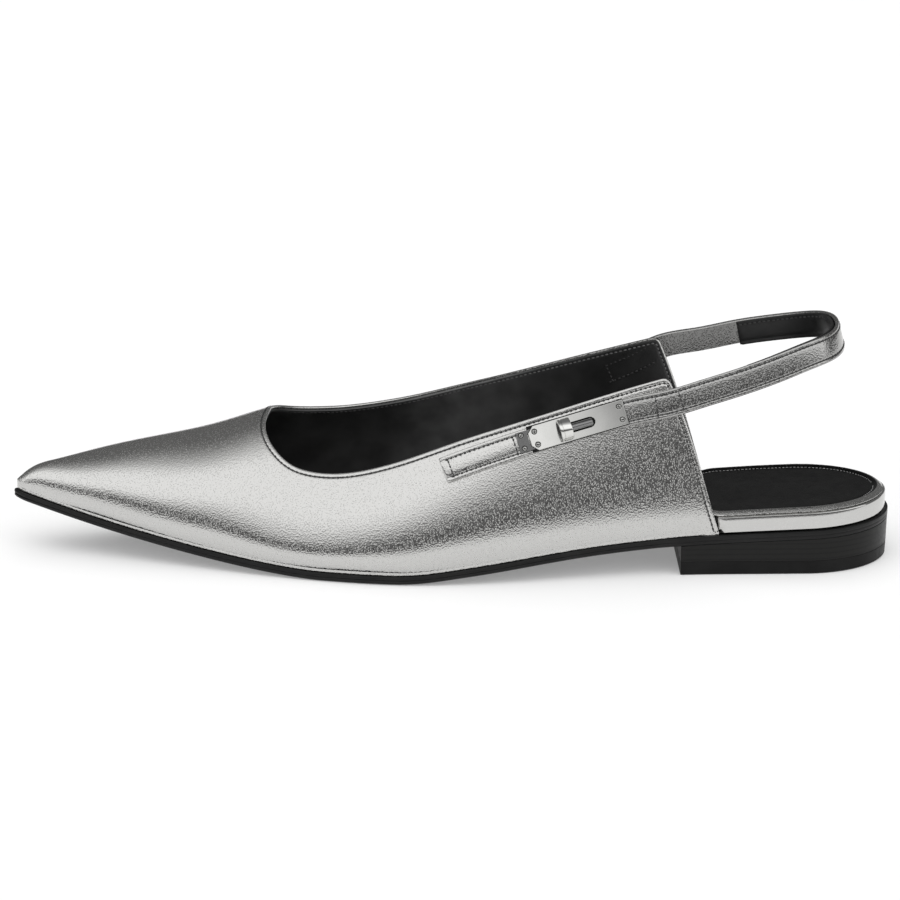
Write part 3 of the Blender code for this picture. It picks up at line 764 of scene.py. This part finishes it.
class Look:
    """The nodes of a material or of the light, each fed with numbers or with other outputs."""

    def __init__(self, owner):
        owner.use_nodes = True
        self.tree = owner.node_tree
        self.coordinates = self.node("TexCoord").outputs
        self.place = self.coordinates["Object"]

    def feed_one(self, socket, value):
        if isinstance(value, bpy.types.NodeSocket):
            self.tree.links.new(value, socket)
        else:
            socket.default_value = value

    def feed(self, node, **inputs):
        """Sets inputs, with lines in their names for the spaces."""
        for name, value in inputs.items():
            self.feed_one(node.inputs[name.replace("_", " ")], value)
        return node

    def node(self, kind, **inputs):
        return self.feed(self.tree.nodes.new("ShaderNode" + kind), **inputs)

    def calculate(self, operation, *values):
        node = self.node("Math")
        node.operation = operation
        for socket, value in zip(node.inputs, values):
            self.feed_one(socket, value)
        return node.outputs["Value"]

    def axis(self, name, kind="Object"):
        """How far a place lies along one axis."""
        return self.node("SeparateXYZ", Vector=self.coordinates[kind]).outputs[name]

    def noise(self, scale, detail=2):
        return self.node("TexNoise", Vector=self.place, Scale=scale, Detail=detail).outputs["Fac"]

    def ramp(self, value, low, high, start=0.3, end=0.7):
        """Maps a texture's value to a range."""
        node = self.node("MapRange", Value=value, From_Min=start, From_Max=end, To_Min=low, To_Max=high)
        return node.outputs["Result"]

    def colours(self, value, stops):
        """A run of colours, each at its position."""
        node = self.node("ValToRGB", Fac=value)
        elements = node.color_ramp.elements
        while len(elements) < len(stops):
            elements.new(0.5)
        for element, (position, colour) in zip(elements, stops):
            element.position = position
            element.color = (*colour, 1)
        return node.outputs["Color"]

    def greys(self, value, stops):
        return self.colours(value, [(position, grey(light)) for position, light in stops])

    def tint(self, value, dark, light, start=0.3, end=0.7):
        return self.colours(value, [(start, dark), (end, light)])

    def bump(self, height, depth, under=None):
        """A bump of a real depth in millimetres, over another one."""
        node = self.node("Bump", Strength=1, Distance=depth * MM, Height=height)
        if under is not None:
            self.feed(node, Normal=under)
        return node.outputs["Normal"]


class Finish(Look):
    """One material's look, with its shader."""

    def __init__(self, name, metallic=0):
        FINISHES[name] = bpy.data.materials.new(name)
        super().__init__(FINISHES[name])
        self.shader = self.tree.nodes["Principled BSDF"]
        self.set(Metallic=metallic)

    def set(self, **inputs):
        self.feed(self.shader, **inputs)


def darker(colour, share):
    return tuple(channel * share for channel in colour)


def grey(light):
    return (light, light, light)


def silver_leather(name, grain=0.034, rough=0.55, colour=(0.585, 0.582, 0.57)):
    """Foil on fine goat grain, rubbed rough and pale on the tops of its small pebbles."""
    look = Finish(name, 1)
    pebbles = look.node("TexVoronoi", Vector=look.place, Scale=2000).outputs["Distance"]
    wave = look.bump(look.noise(40, 0), 0.06)
    look.set(
        Base_Color=look.tint(pebbles, colour, darker(colour, 0.94), 0.24, 0.4),
        Roughness=look.ramp(pebbles, rough, 0.1, 0.24, 0.4),
        Normal=look.bump(pebbles, grain, wave),
    )


def black_leather(name, light, roughness, grain=0.02, shine=0.5, painted_sheen=False):
    """Black kid leather with a soft shine and a fine grain; a painted sheen can make its colour paler
    at the waist.
    """
    look = Finish(name)
    colour = look.tint(look.noise(120), grey(light * 0.55), grey(light))
    # Painted sheen: the colour is scaled paler along the waist, where the lining catches the light.
    if painted_sheen:
        along = look.ramp(look.axis("X"), 0, 1, -0.05, 0.06)
        scaled = look.node("VectorMath")
        scaled.operation = "SCALE"
        look.feed(scaled, Vector=colour, Scale=look.greys(along, PAINTED_SHEEN))
        colour = scaled.outputs["Vector"]
    slow = look.bump(look.noise(90, 1), 0.08)
    look.set(
        Specular_IOR_Level=shine,
        Base_Color=colour,
        Roughness=look.ramp(look.noise(400), *roughness),
        Normal=look.bump(look.noise(1900), grain, slow),
    )


def polished_metal(name, colour, roughness, bow=None):
    """Plated metal with hairlines. A bow leans its face back, more at its front than at its rear."""
    look = Finish(name, 1)
    normal = look.bump(look.noise(350), 0.002)
    if bow:
        lean, twist = bow
        slope = look.calculate("MULTIPLY_ADD", look.axis("X"), twist, -lean)
        normal = look.bump(look.calculate("MULTIPLY", slope, look.axis("Y")), 1 / MM, normal)
    look.set(
        Base_Color=look.tint(look.noise(200), darker(colour, 0.93), colour),
        Roughness=look.ramp(look.noise(700, 3), roughness * 0.8, roughness * 1.3),
        Normal=normal,
    )


def stacked_leather(name):
    """Heel lifts with thin level lines between their layers."""
    look = Finish(name)
    waves = look.node("TexWave", Vector=look.place, Scale=190, Distortion=0.3)
    waves.wave_type = "BANDS"
    waves.bands_direction = "Z"
    lines = waves.outputs["Fac"]
    fibre = look.noise(800, 3)
    look.set(
        Specular_IOR_Level=0.14,
        Base_Color=look.tint(lines, grey(0.0095), (0.013, 0.013, 0.0125), 0, 0.3),
        Roughness=look.ramp(fibre, 0.3, 0.42),
        Normal=look.bump(fibre, 0.012, look.bump(lines, 0.004)),
    )


def thread(name, light):
    """Twisted thread with fine ridges."""
    look = Finish(name)
    look.set(
        Base_Color=look.tint(look.noise(1500), grey(light * 0.6), grey(light)),
        Roughness=0.5,
        Normal=look.bump(look.noise(4000), 0.02),
    )


def make_finishes():
    silver_leather("silver_leather")
    silver_leather("smooth_silver_leather", 0.006, 0.16)
    silver_leather("strap_silver_leather", colour=(0.43, 0.428, 0.42))
    silver_leather("strap_inside_leather", colour=(0.2, 0.199, 0.195))
    # The lining's paler waist is a painted sheen.
    black_leather("lining_leather", 0.12, (0.3, 0.42), painted_sheen=True)
    black_leather("grip_leather", 0.012, (0.3, 0.44), shine=0.35)
    black_leather("insole_leather", 0.004, (0.22, 0.34), shine=0.08)
    black_leather("sole_edge_leather", 0.01, (0.34, 0.46), grain=0.01, shine=0.22)
    stacked_leather("heel_stack_leather")
    black_leather("top_piece_rubber", 0.01, (0.4, 0.52), shine=0.14)
    polished_metal("polished_plate_metal", (0.72, 0.72, 0.7), 0.08)
    polished_metal("lock_plate_metal", (0.58, 0.58, 0.565), 0.1, (0.031, 3.5))
    polished_metal("screw_metal", (0.4, 0.4, 0.39), 0.16)
    # Dark metal of the end plate, also used as painted shade on the knob's stem.
    polished_metal("dark_metal_and_painted_shade", (0.22, 0.22, 0.22), 0.22)
    # The silver thread is coloured near black: painted shade of the stitched groove and its holes.
    thread("painted_shade_silver_thread", 0.03)
    thread("dim_thread", 0.16)
    thread("black_thread", 0.035)
    thread("grey_thread", 0.5)
    # Black used as painted shade: needle holes, screw slots and the sheet behind the lock.
    black_leather("painted_shade_black", 0.006, (0.7, 0.9))


def make_upper():
    """The silver leather, the lining and the stitches of the upper."""
    leather = lay_upper(LEATHER_EDGE, 0, HEM, False)
    add_piece("upper_leather", leather, ["silver_leather"], "upper", merge=0.03)
    lining = lay_upper(LINING_EDGE, -WALL, [], True)
    add_piece("upper_lining", lining, ["lining_leather"], "upper", merge=0.15)
    seam = Shape()
    lining_seam = Shape()
    for side in SIDES:
        sew(seam, *edge_line(side, -0.01))
        line, faces = edge_line(side, -WALL + 0.08)
        sew(lining_seam, line, -faces)
    add_piece("upper_stitches", seam, ["painted_shade_silver_thread", "painted_shade_black"], "upper")
    add_piece("lining_stitches", lining_seam, ["dim_thread", "painted_shade_black"], "upper")


def over(base, height):
    """The height of a layer over another one, as a function of the station."""
    return lambda station: base(station) + height


def level(_station):
    """The height of the floor."""
    return 0


def side_ring(station, rows):
    """A ring across the shoe from rows of inset and height up one side and down the other."""
    ring = []
    half = (OUTLINE[MEDIAL](station) + OUTLINE[LATERAL](station)) / 2
    for side, order in ((LATERAL, rows), (MEDIAL, rows[::-1])):
        for inset, height_of in order:
            moved, across = outline(side, station, min(inset, half * 0.9))
            ring.append((moved - SHOE_LENGTH / 2, across, height_of(moved)))
    return ring


def close_stations(first, step):
    """Stations to the back of the shoe, closer where the outline turns at the toe and the heel."""
    nose = [NOSE_LENGTH * (1 - cos(radians(a))) for a in range(10, 90, 10)]
    seat = [SHOE_LENGTH - SEAT_ROUND * (1 - cos(radians(a))) for a in range(84, 0, -6)]
    seat.append(SHOE_LENGTH - 0.004)
    count = max(1, round((seat[0] - NOSE_LENGTH) / step))
    middle = [NOSE_LENGTH + (seat[0] - NOSE_LENGTH) * i / count for i in range(count)]
    return [station for station in nose + middle + seat if station >= first]


def make_sole():
    """The sole with its rounded and grooved edge."""
    shape = Shape()
    rings = []
    for station in close_stations(0, SOLE_STEP):
        worked = np.interp(station, [HEEL_BREAST - 8, HEEL_BREAST], [1, 0.25])
        rows = []
        for inset, height in SOLE_EDGE:
            rows.append((inset * worked if inset < 1 else inset, over(underside, height)))
        rings.append(side_ring(station, rows))
    shape.tube(rings)
    add_piece("outsole_dressed", shape, ["sole_edge_leather"], "outsole", sharp=60)


def make_heel():
    """The stacked heel and its wearing layer, both with eased edges and a line at each joint."""
    stations = [HEEL_BREAST, HEEL_BREAST + 0.3] + close_stations(HEEL_BREAST + 1, 2)
    floor, seam, top = 0.35, 0.2, 0.08
    joint = TOP_PIECE_HEIGHT + GAP
    layers = {
        ("heel_top_piece", "top_piece_rubber", "top_piece"): [
            (floor + 0.35, level),
            (floor, over(level, 0.35)),
            (seam, over(level, joint - 0.13)),
            (seam + 0.06, over(level, joint - 0.05)),
        ],
        ("heel_block", "heel_stack_leather", "heel_stack"): [
            (seam + 0.06, over(level, joint)),
            (seam, over(level, joint + 0.08)),
            (top, over(underside, -0.1)),
            (top + 0.05, over(underside, -0.03)),
        ],
    }
    for (name, finish, slot), rows in layers.items():
        shape = Shape()
        eased = [(inset + 0.25, height_of) for inset, height_of in rows]
        rings = [side_ring(stations[0], eased)]
        rings += [side_ring(station, rows) for station in stations[1:]]
        shape.tube(rings)
        add_piece(name + "_dressed", shape, [finish], name, sharp=35)


def seat_rows(outside):
    """Stations along the board and the sock, and how far each lies in from the sole's edge."""
    inside = SOLE_PROUD + WALL + BOARD_CLEARANCE
    rows = []
    for station in [BOARD_FRONT] + close_stations(BOARD_FRONT + 1, SOLE_STEP):
        settle = np.clip((station - SEAT_START + 1.2) / 1.6, 0, 1)
        settle = settle * settle * (3 - 2 * settle)
        rows.append((station, inside + (outside - inside) * settle))
    return rows


def make_board():
    """The board with the silver leather that is drawn over its edge."""
    foot = over(sole_top, GAP - FEATHER_DROP)
    section = [
        (0.4, foot),
        (0, over(foot, 0.4)),
        (-0.05, lambda station: (sole_top(station) + GAP + board_top(station)) / 2),
        (0, over(board_top, -0.5)),
        (0.15, over(board_top, -0.15)),
        (0.5, board_top),
    ]
    board = Shape()
    rings = []
    for station, inset in seat_rows(SOLE_PROUD):
        rings.append(side_ring(station, [(inset + more, height_of) for more, height_of in section]))
    board.tube(rings)
    add_piece("insole_board_dressed", board, ["smooth_silver_leather"], "insole_board")


def make_sock():
    """The padded sock with its silver rim and its stitched border."""
    base = over(board_top, GAP)
    sock = Shape()
    stations = seat_rows(SOLE_PROUD + SOCK_INSET)
    loops = []
    for station, inset in stations:
        rows = [(inset + more, over(base, height)) for more, height in SOCK_PADDING]
        loops.append(sock.row(side_ring(station, rows)))
    count = len(loops[0])
    covered = RIM_ROWS + [count - 2 - row for row in RIM_ROWS]
    for near, far in zip(loops, loops[1:]):
        sock.strip(near, far, closed=True, marked=covered)
    sock.face(loops[0][::-1])
    last = loops[-1]
    for i in range(count // 2 - 1):
        sock.face((last[i], last[i + 1], last[-2 - i], last[-1 - i]), 1 if i in RIM_ROWS else 0)
    add_piece("insole_dressed", sock, ["insole_leather", "silver_leather"], "insole")
    seam = Shape()
    stitch_inset, stitch_height = SOCK_STITCHES
    for side in SIDES:
        line = []
        for station, inset in stations:
            moved, across = outline(side, station, inset + stitch_inset)
            line.append((moved - SHOE_LENGTH / 2, across, base(moved) + stitch_height))
        faces = np.tile([0, 0, 1], (len(line), 1))
        sew(seam, np.array(line), faces, pitch=1.2, radius=0.1)
    add_piece("insole_stitches", seam, ["grey_thread", "painted_shade_black"], "insole")


def eased_runs(length):
    """Places along a band, with close ones where its two ends are rounded."""
    ends = [0, 0.1, 0.3, 0.7]
    between = length - 2 * ends[-1]
    count = round(between / BAND_STEP)
    middle = [ends[-1] + between * i / count for i in range(1, count)]
    return ends + middle + [length - end for end in reversed(ends)]


def band_frames(points, tilts):
    """Close places along a band's path, and the frame at each."""
    runs = eased_runs(run_along(points)[-1])
    return frame_along(*path_at(points, tilts, runs)), runs


def strap_profile(width, thickness, pillow):
    """A folded and stitched band in section: rolled edges, a groove, and a soft middle."""
    half = width / 2
    rows = [
        # distance from the edge, height
        (0.35, thickness * 0.05), (0.1, thickness * 0.24), (0, thickness * 0.5),
        (0.06, thickness * 0.8), (0.2, thickness * 0.95), (0.45, thickness),
        (1, thickness - 0.02), (1.3, thickness - 0.09), (1.6, thickness - 0.02),
        (2, thickness + pillow * 0.5), (2.8, thickness + pillow * 0.85), (half, thickness + pillow),
    ]
    left = [(-half + distance, height) for distance, height in rows]
    return left + [(-across, height) for across, height in left[-2::-1]]


def sweep(frames, runs, profile, marked=()):
    """A band along a path, drawn in at its two ends."""
    shape = Shape()
    length = runs[-1]
    heights = [height for _, height in profile]
    middle = 0.5 * (min(heights) + max(heights))
    rings = []
    for (point, up, facing), run in zip(frames, runs):
        near_end = min(run, length - run) / 0.7
        closeness = 1 - sqrt(max(0, 1 - (1 - min(1, near_end)) ** 2))
        ring = []
        for across, height in profile:
            narrow = across * (1 - 0.06 * closeness)
            drawn = height + (middle - height) * 0.6 * closeness
            ring.append(point + up * narrow + facing * drawn)
        rings.append(ring)
    shape.tube(rings, marked=marked)
    return shape


def band_seam(shape, frames, across, height, first=0):
    """A row of stitches along a band's outer face, or its inner one where the height is below 0."""
    line = np.array([point + up * across + facing * height for point, up, facing in frames])
    faces = np.array([facing * copysign(1, height) for _, _, facing in frames])
    keep = run_along(line) >= first
    sew(shape, line[keep], faces[keep])


def cross_seam(shape, frames, along, half, height):
    """A row of stitches across a band, where its middle line first reaches a place along the shoe."""
    point, up, facing = next(frame for frame in frames if frame[0][0] >= along)
    line = np.array([point + up * a + facing * height for a in np.linspace(-half, half, 9)])
    sew(shape, line, np.tile(facing * copysign(1, height), (9, 1)), first=0.1)


def outer_seams(frames, width, first, cross_seams, raised):
    """The rows of stitches on a band's outer face, along both edges and across it."""
    seam = Shape()
    edge = width / 2 - BAND_STITCH_INSET
    for across in (-edge, edge):
        band_seam(seam, frames, across, STRIP_THICKNESS + 0.02, first)
    for along in cross_seams:
        cross_seam(seam, frames, along, edge, STRIP_THICKNESS + raised)
    return seam


def make_tab():
    frames, runs = band_frames(*quarter_path(LATERAL, TAB_FRONT, TAB_END, 3))
    tab = sweep(frames, runs, strap_profile(STRIP_WIDTH, STRIP_THICKNESS, 0.22))
    add_piece("side_tab_dressed", tab, ["silver_leather"], "side_tab")
    seam = outer_seams(frames, STRIP_WIDTH, BAND_STITCH_INSET, TAB_CROSS_SEAMS, 0.24)
    add_piece("side_tab_stitches", seam, ["painted_shade_silver_thread", "painted_shade_black"], "side_tab")


def make_strap():
    """The sling strap with its stitches, and the rows that sew its end inside the quarter."""
    frames, runs = band_frames(*strap_path(2.4))
    profile = strap_profile(STRAP_WIDTH, STRIP_THICKNESS, 0.06)
    strap = sweep(frames, runs, profile, marked=[len(profile) - 1])
    leathers = ["strap_silver_leather", "strap_inside_leather"]
    add_piece("sling_strap_dressed", strap, leathers, "sling_strap")
    seam = outer_seams(frames, STRAP_WIDTH, 0.5, STRAP_CROSS_SEAMS, 0.07)
    add_piece("strap_stitches", seam, ["painted_shade_silver_thread", "painted_shade_black"], "sling_strap")
    make_grip(frames, runs)
    seam = Shape()
    inside = -STRIP_LIFT - WALL - 0.02
    edge = STRAP_WIDTH / 2 - BAND_STITCH_INSET
    sewn = [frame for frame in frames if frame[0][1] > 0 and frame[0][0] < QUARTER_REAR]
    for across in (-edge, edge):
        band_seam(seam, sewn, across, inside)
    cross_seam(seam, sewn[::-1], STRAP_MEDIAL_END - SHOE_LENGTH / 2 + 1.3, edge, inside)
    add_piece("strap_end_stitches", seam, ["black_thread", "painted_shade_black"], "sling_strap")


def make_grip(frames, runs):
    """The black patch inside the back of the strap."""
    kept = [i for i, frame in enumerate(frames) if frame[0][0] > GRIP_FROM]
    back = frames[kept[0]: kept[-1] + 1]
    back_runs = [runs[i] - runs[kept[0]] for i in kept]
    profile = [(a, -GAP - h) for a, h in strap_profile(GRIP_WIDTH - 0.7, GRIP_THICKNESS, 0.1)]
    grip = sweep(back, back_runs, profile)
    add_piece("strap_lining_dressed", grip, ["grip_leather"], "strap_lining")
    seam = Shape()
    band_seam(seam, back, GRIP_WIDTH / 2 - STITCH_INSET, -GAP - GRIP_THICKNESS)
    threads = ["black_thread", "painted_shade_black"]
    add_piece("strap_lining_stitches", seam, threads, "strap_lining")


def in_lock(frame, x, y, z):
    middle, along, up, facing = frame
    return middle + along * x + up * y + facing * z


def plate_piece(name, outlines, bevel, frame, finish):
    """A flat plate with eased edges, from its outline and its holes, set in the lock's plane."""
    data = bpy.data.curves.new(name, "CURVE")
    data.dimensions = "2D"
    data.fill_mode = "BOTH"
    data.extrude = (PLATE_THICKNESS / 2 - bevel) * MM
    data.bevel_depth = bevel * MM
    data.bevel_resolution = 3
    data.offset = -bevel * MM
    for points in outlines:
        spline = data.splines.new("POLY")
        spline.points.add(len(points) - 1)
        for target, (x, y) in zip(spline.points, points):
            target.co = (x * MM, y * MM, 0, 1)
        spline.use_cyclic_u = True
    maker = add_object(name + "_curve", data)
    mesh = bpy.data.meshes.new_from_object(maker.evaluated_get(bpy.context.evaluated_depsgraph_get()))
    bpy.data.objects.remove(maker)
    mesh.materials.clear()
    middle = metres(in_lock(frame, 0, 0, PLATE_THICKNESS / 2))
    turn = Matrix([Vector(axis) for axis in frame[1:]]).transposed().to_4x4()
    dress(name + "_dressed", mesh, [finish], name, 30, Matrix.Translation(middle) @ turn)


def make_plates(frame):
    """The plate with its slot, the dark end plate, and a black sheet of painted shade behind their
    holes that also shows as a painted shadow line round the plate.
    """
    half = PLATE_LENGTH / 2
    tall = PLATE_HEIGHT / 2
    cut = PLATE_CHAMFER
    outer = [(half, -tall), (half, tall), (-half + cut, tall), (-half, tall - cut)]
    outer += [(-half, -tall + cut), (-half + cut, -tall)]
    slot = slot_outline()
    holes = screw_holes(SCREW_RADIUS + 0.12)
    plate_piece("lock_plate", [outer, slot] + holes[:4], 0.16, frame, "lock_plate_metal")
    left = -half - END_PLATE_LENGTH
    edge = -half - GAP
    low = END_PLATE_HEIGHT / 2
    flare = END_PLATE_FLARE
    outer = [(left, -low), (edge + flare, -low), (edge, -low + flare), (edge, low - flare)]
    outer += [(edge + flare, low), (left, low)]
    plate_piece("lock_end_plate", [outer] + holes[4:], 0.12, frame, "dark_metal_and_painted_shade")
    # Painted shade: a black sheet just behind the plates shows dark through the slot and the screw
    # holes, and as a thin dark line past the plate's edges.
    shade_sheet = Shape()
    wide, high = half + 0.28, tall + 0.28
    shade_behind_plate = [(wide, -high), (wide, high), (-half, high), (-half, -high)]
    for points in [slot, shade_behind_plate] + screw_holes(SCREW_RADIUS + 0.3):
        shade_sheet.face(shade_sheet.row([in_lock(frame, x, y, 0.12) for x, y in points]))
    add_piece("lock_painted_shade", shade_sheet, ["painted_shade_black"], "lock_plate")


def make_screws(frame):
    """Domed screws, each with a black bar of painted shade across its head for its sunk slot."""
    tall = PLATE_THICKNESS + SCREW_HEIGHT
    radius = SCREW_RADIUS
    profile = [(radius, 0.05), (radius, PLATE_THICKNESS), (radius * 0.97, tall - 0.22)]
    profile += [(radius * 0.85, tall - 0.1), (radius * 0.55, tall - 0.02), (radius * 0.05, tall)]
    reach, half = radius * 0.7, 0.11
    for number, (x, y) in enumerate(screw_places(), 1):
        shape = Shape()
        shape.tube([
            [in_lock(frame, x + around * c, y + around * s, height) for c, s in turns(24)]
            for around, height in profile
        ])
        slot_turn = 0.7 + 1.3 * number
        ux, uy = cos(slot_turn), sin(slot_turn)
        corners = []
        for a, b in ((-reach, -half), (reach, -half), (reach, half), (-reach, half)):
            corners.append((x + ux * a - uy * b, y + uy * a + ux * b))
        levels = (tall - 0.12, tall + 0.012)
        # The slot is a black bar through the dome's top: painted shade for its recess.
        shape.tube([[in_lock(frame, cx, cy, z) for cx, cy in corners] for z in levels], 1)
        node = f"lock_screw_{number}"
        add_piece(node + "_dressed", shape, ["screw_metal", "painted_shade_black"], node)


def make_knob(frame):
    """The drum with its rims and dished cap, cut flat over the plate, and the stem."""
    left = KNOB_MIDDLE - KNOB_LENGTH / 2
    right = KNOB_MIDDLE + KNOB_LENGTH / 2
    end = right + STEM_LENGTH
    cap = [(0.28, 0.55), (0.1, 0.68), (0, 0.78), (0, 0.92), (0.1, 0.98)]
    profile = [(left + 0.3, 0.05)] + [(left + step, KNOB_RADIUS * size) for step, size in cap]
    profile += [
        # place along the axis, radius
        (left + 0.25, KNOB_RADIUS), (left + 0.8, KNOB_RADIUS), (left + 0.88, KNOB_RADIUS - 0.16),
        (left + 1.08, KNOB_RADIUS - 0.16), (left + 1.16, KNOB_RADIUS), (right - 0.25, KNOB_RADIUS),
        (right - 0.08, KNOB_RADIUS * 0.97), (right, KNOB_RADIUS * 0.9), (right, STEM_RADIUS + 0.1),
        (right + 0.1, STEM_RADIUS), (end - 0.25, STEM_RADIUS), (end - 0.07, STEM_RADIUS * 0.9),
        (end, STEM_RADIUS * 0.6),
    ]
    floor = GAP + PLATE_THICKNESS
    shape = Shape()
    loops = []
    for x, radius in profile:
        ring = []
        for c, s in turns(64):
            z = PLATE_THICKNESS + KNOB_RISE + radius * s
            ring.append(in_lock(frame, x, radius * c, z if x > right else max(z, floor)))
        loops.append(shape.row(ring))
    # The stem and the dished middle of the cap take the dark metal; on the stem it is painted shade for
    # the dark that it reflects.
    bright = range(3, len(profile) - 5)
    for number, (near, far) in enumerate(zip(loops, loops[1:])):
        shape.strip(near, far, closed=True, finish=0 if number in bright else 1)
    shape.face(loops[0], 1)
    shape.face(loops[-1][::-1], 1)
    metals = ["polished_plate_metal", "dark_metal_and_painted_shade"]
    add_piece("lock_knob_dressed", shape, metals, "lock_knob", sharp=35)


def make_floor():
    corners = [(-1, -1, 0), (1, -1, 0), (1, 1, 0), (-1, 1, 0)]
    data = bpy.data.meshes.new("floor")
    data.from_pydata([Vector(corner) * FLOOR_REACH for corner in corners], [], [(0, 1, 2, 3)])
    look = Finish("pale_floor")
    data.materials.append(FINISHES["pale_floor"])
    look.set(
        Base_Color=look.tint(look.noise(3), grey(0.68), grey(0.7)),
        Roughness=0.8,
        Specular_IOR_Level=0.2,
        Emission_Color=(1, 1, 1, 1),
        Emission_Strength=FLOOR_GLOW,
    )
    floor = add_object("floor", data)
    floor.location.z = -0.0001


def make_light():
    """A studio sky whose light depends on the angle over the camera's side, and a wide lamp."""
    world = bpy.data.worlds.new("studio")
    bpy.context.scene.world = world
    look = Look(world)
    front = look.calculate("MULTIPLY", look.axis("Y", "Generated"), -1)
    angle = look.calculate("ARCTAN2", look.axis("Z", "Generated"), front)
    stops = [(turn / 180, light) for turn, light in SKY]
    light = look.greys(look.calculate("DIVIDE", angle, pi), stops)
    look.feed(look.tree.nodes["Background"], Color=light, Strength=1)

    lamp = bpy.data.lights.new("overhead", "AREA")
    lamp.shape = "RECTANGLE"
    lamp.size, lamp.size_y = LAMP_SIZE
    lamp.energy = LAMP_WATTS
    overhead = add_object("overhead", lamp)
    overhead.location = LAMP_PLACE
    overhead.visible_glossy = False


def make_camera():
    lens = bpy.data.cameras.new("camera")
    lens.lens = CAMERA_LENS
    lens.sensor_width = 36
    camera = add_object("camera", lens)
    camera.location = CAMERA_PLACE
    camera.rotation_euler = (radians(CAMERA_TILT), 0, 0)
    bpy.context.scene.camera = camera
    bpy.context.scene.view_settings.view_transform = "Standard"


def main():
    make_finishes()
    make_upper()
    make_sole()
    make_heel()
    make_board()
    make_sock()
    make_tab()
    make_strap()
    lock = lock_matrix()
    make_plates(lock)
    make_screws(lock)
    make_knob(lock)
    make_floor()
    make_light()
    make_camera()


main()
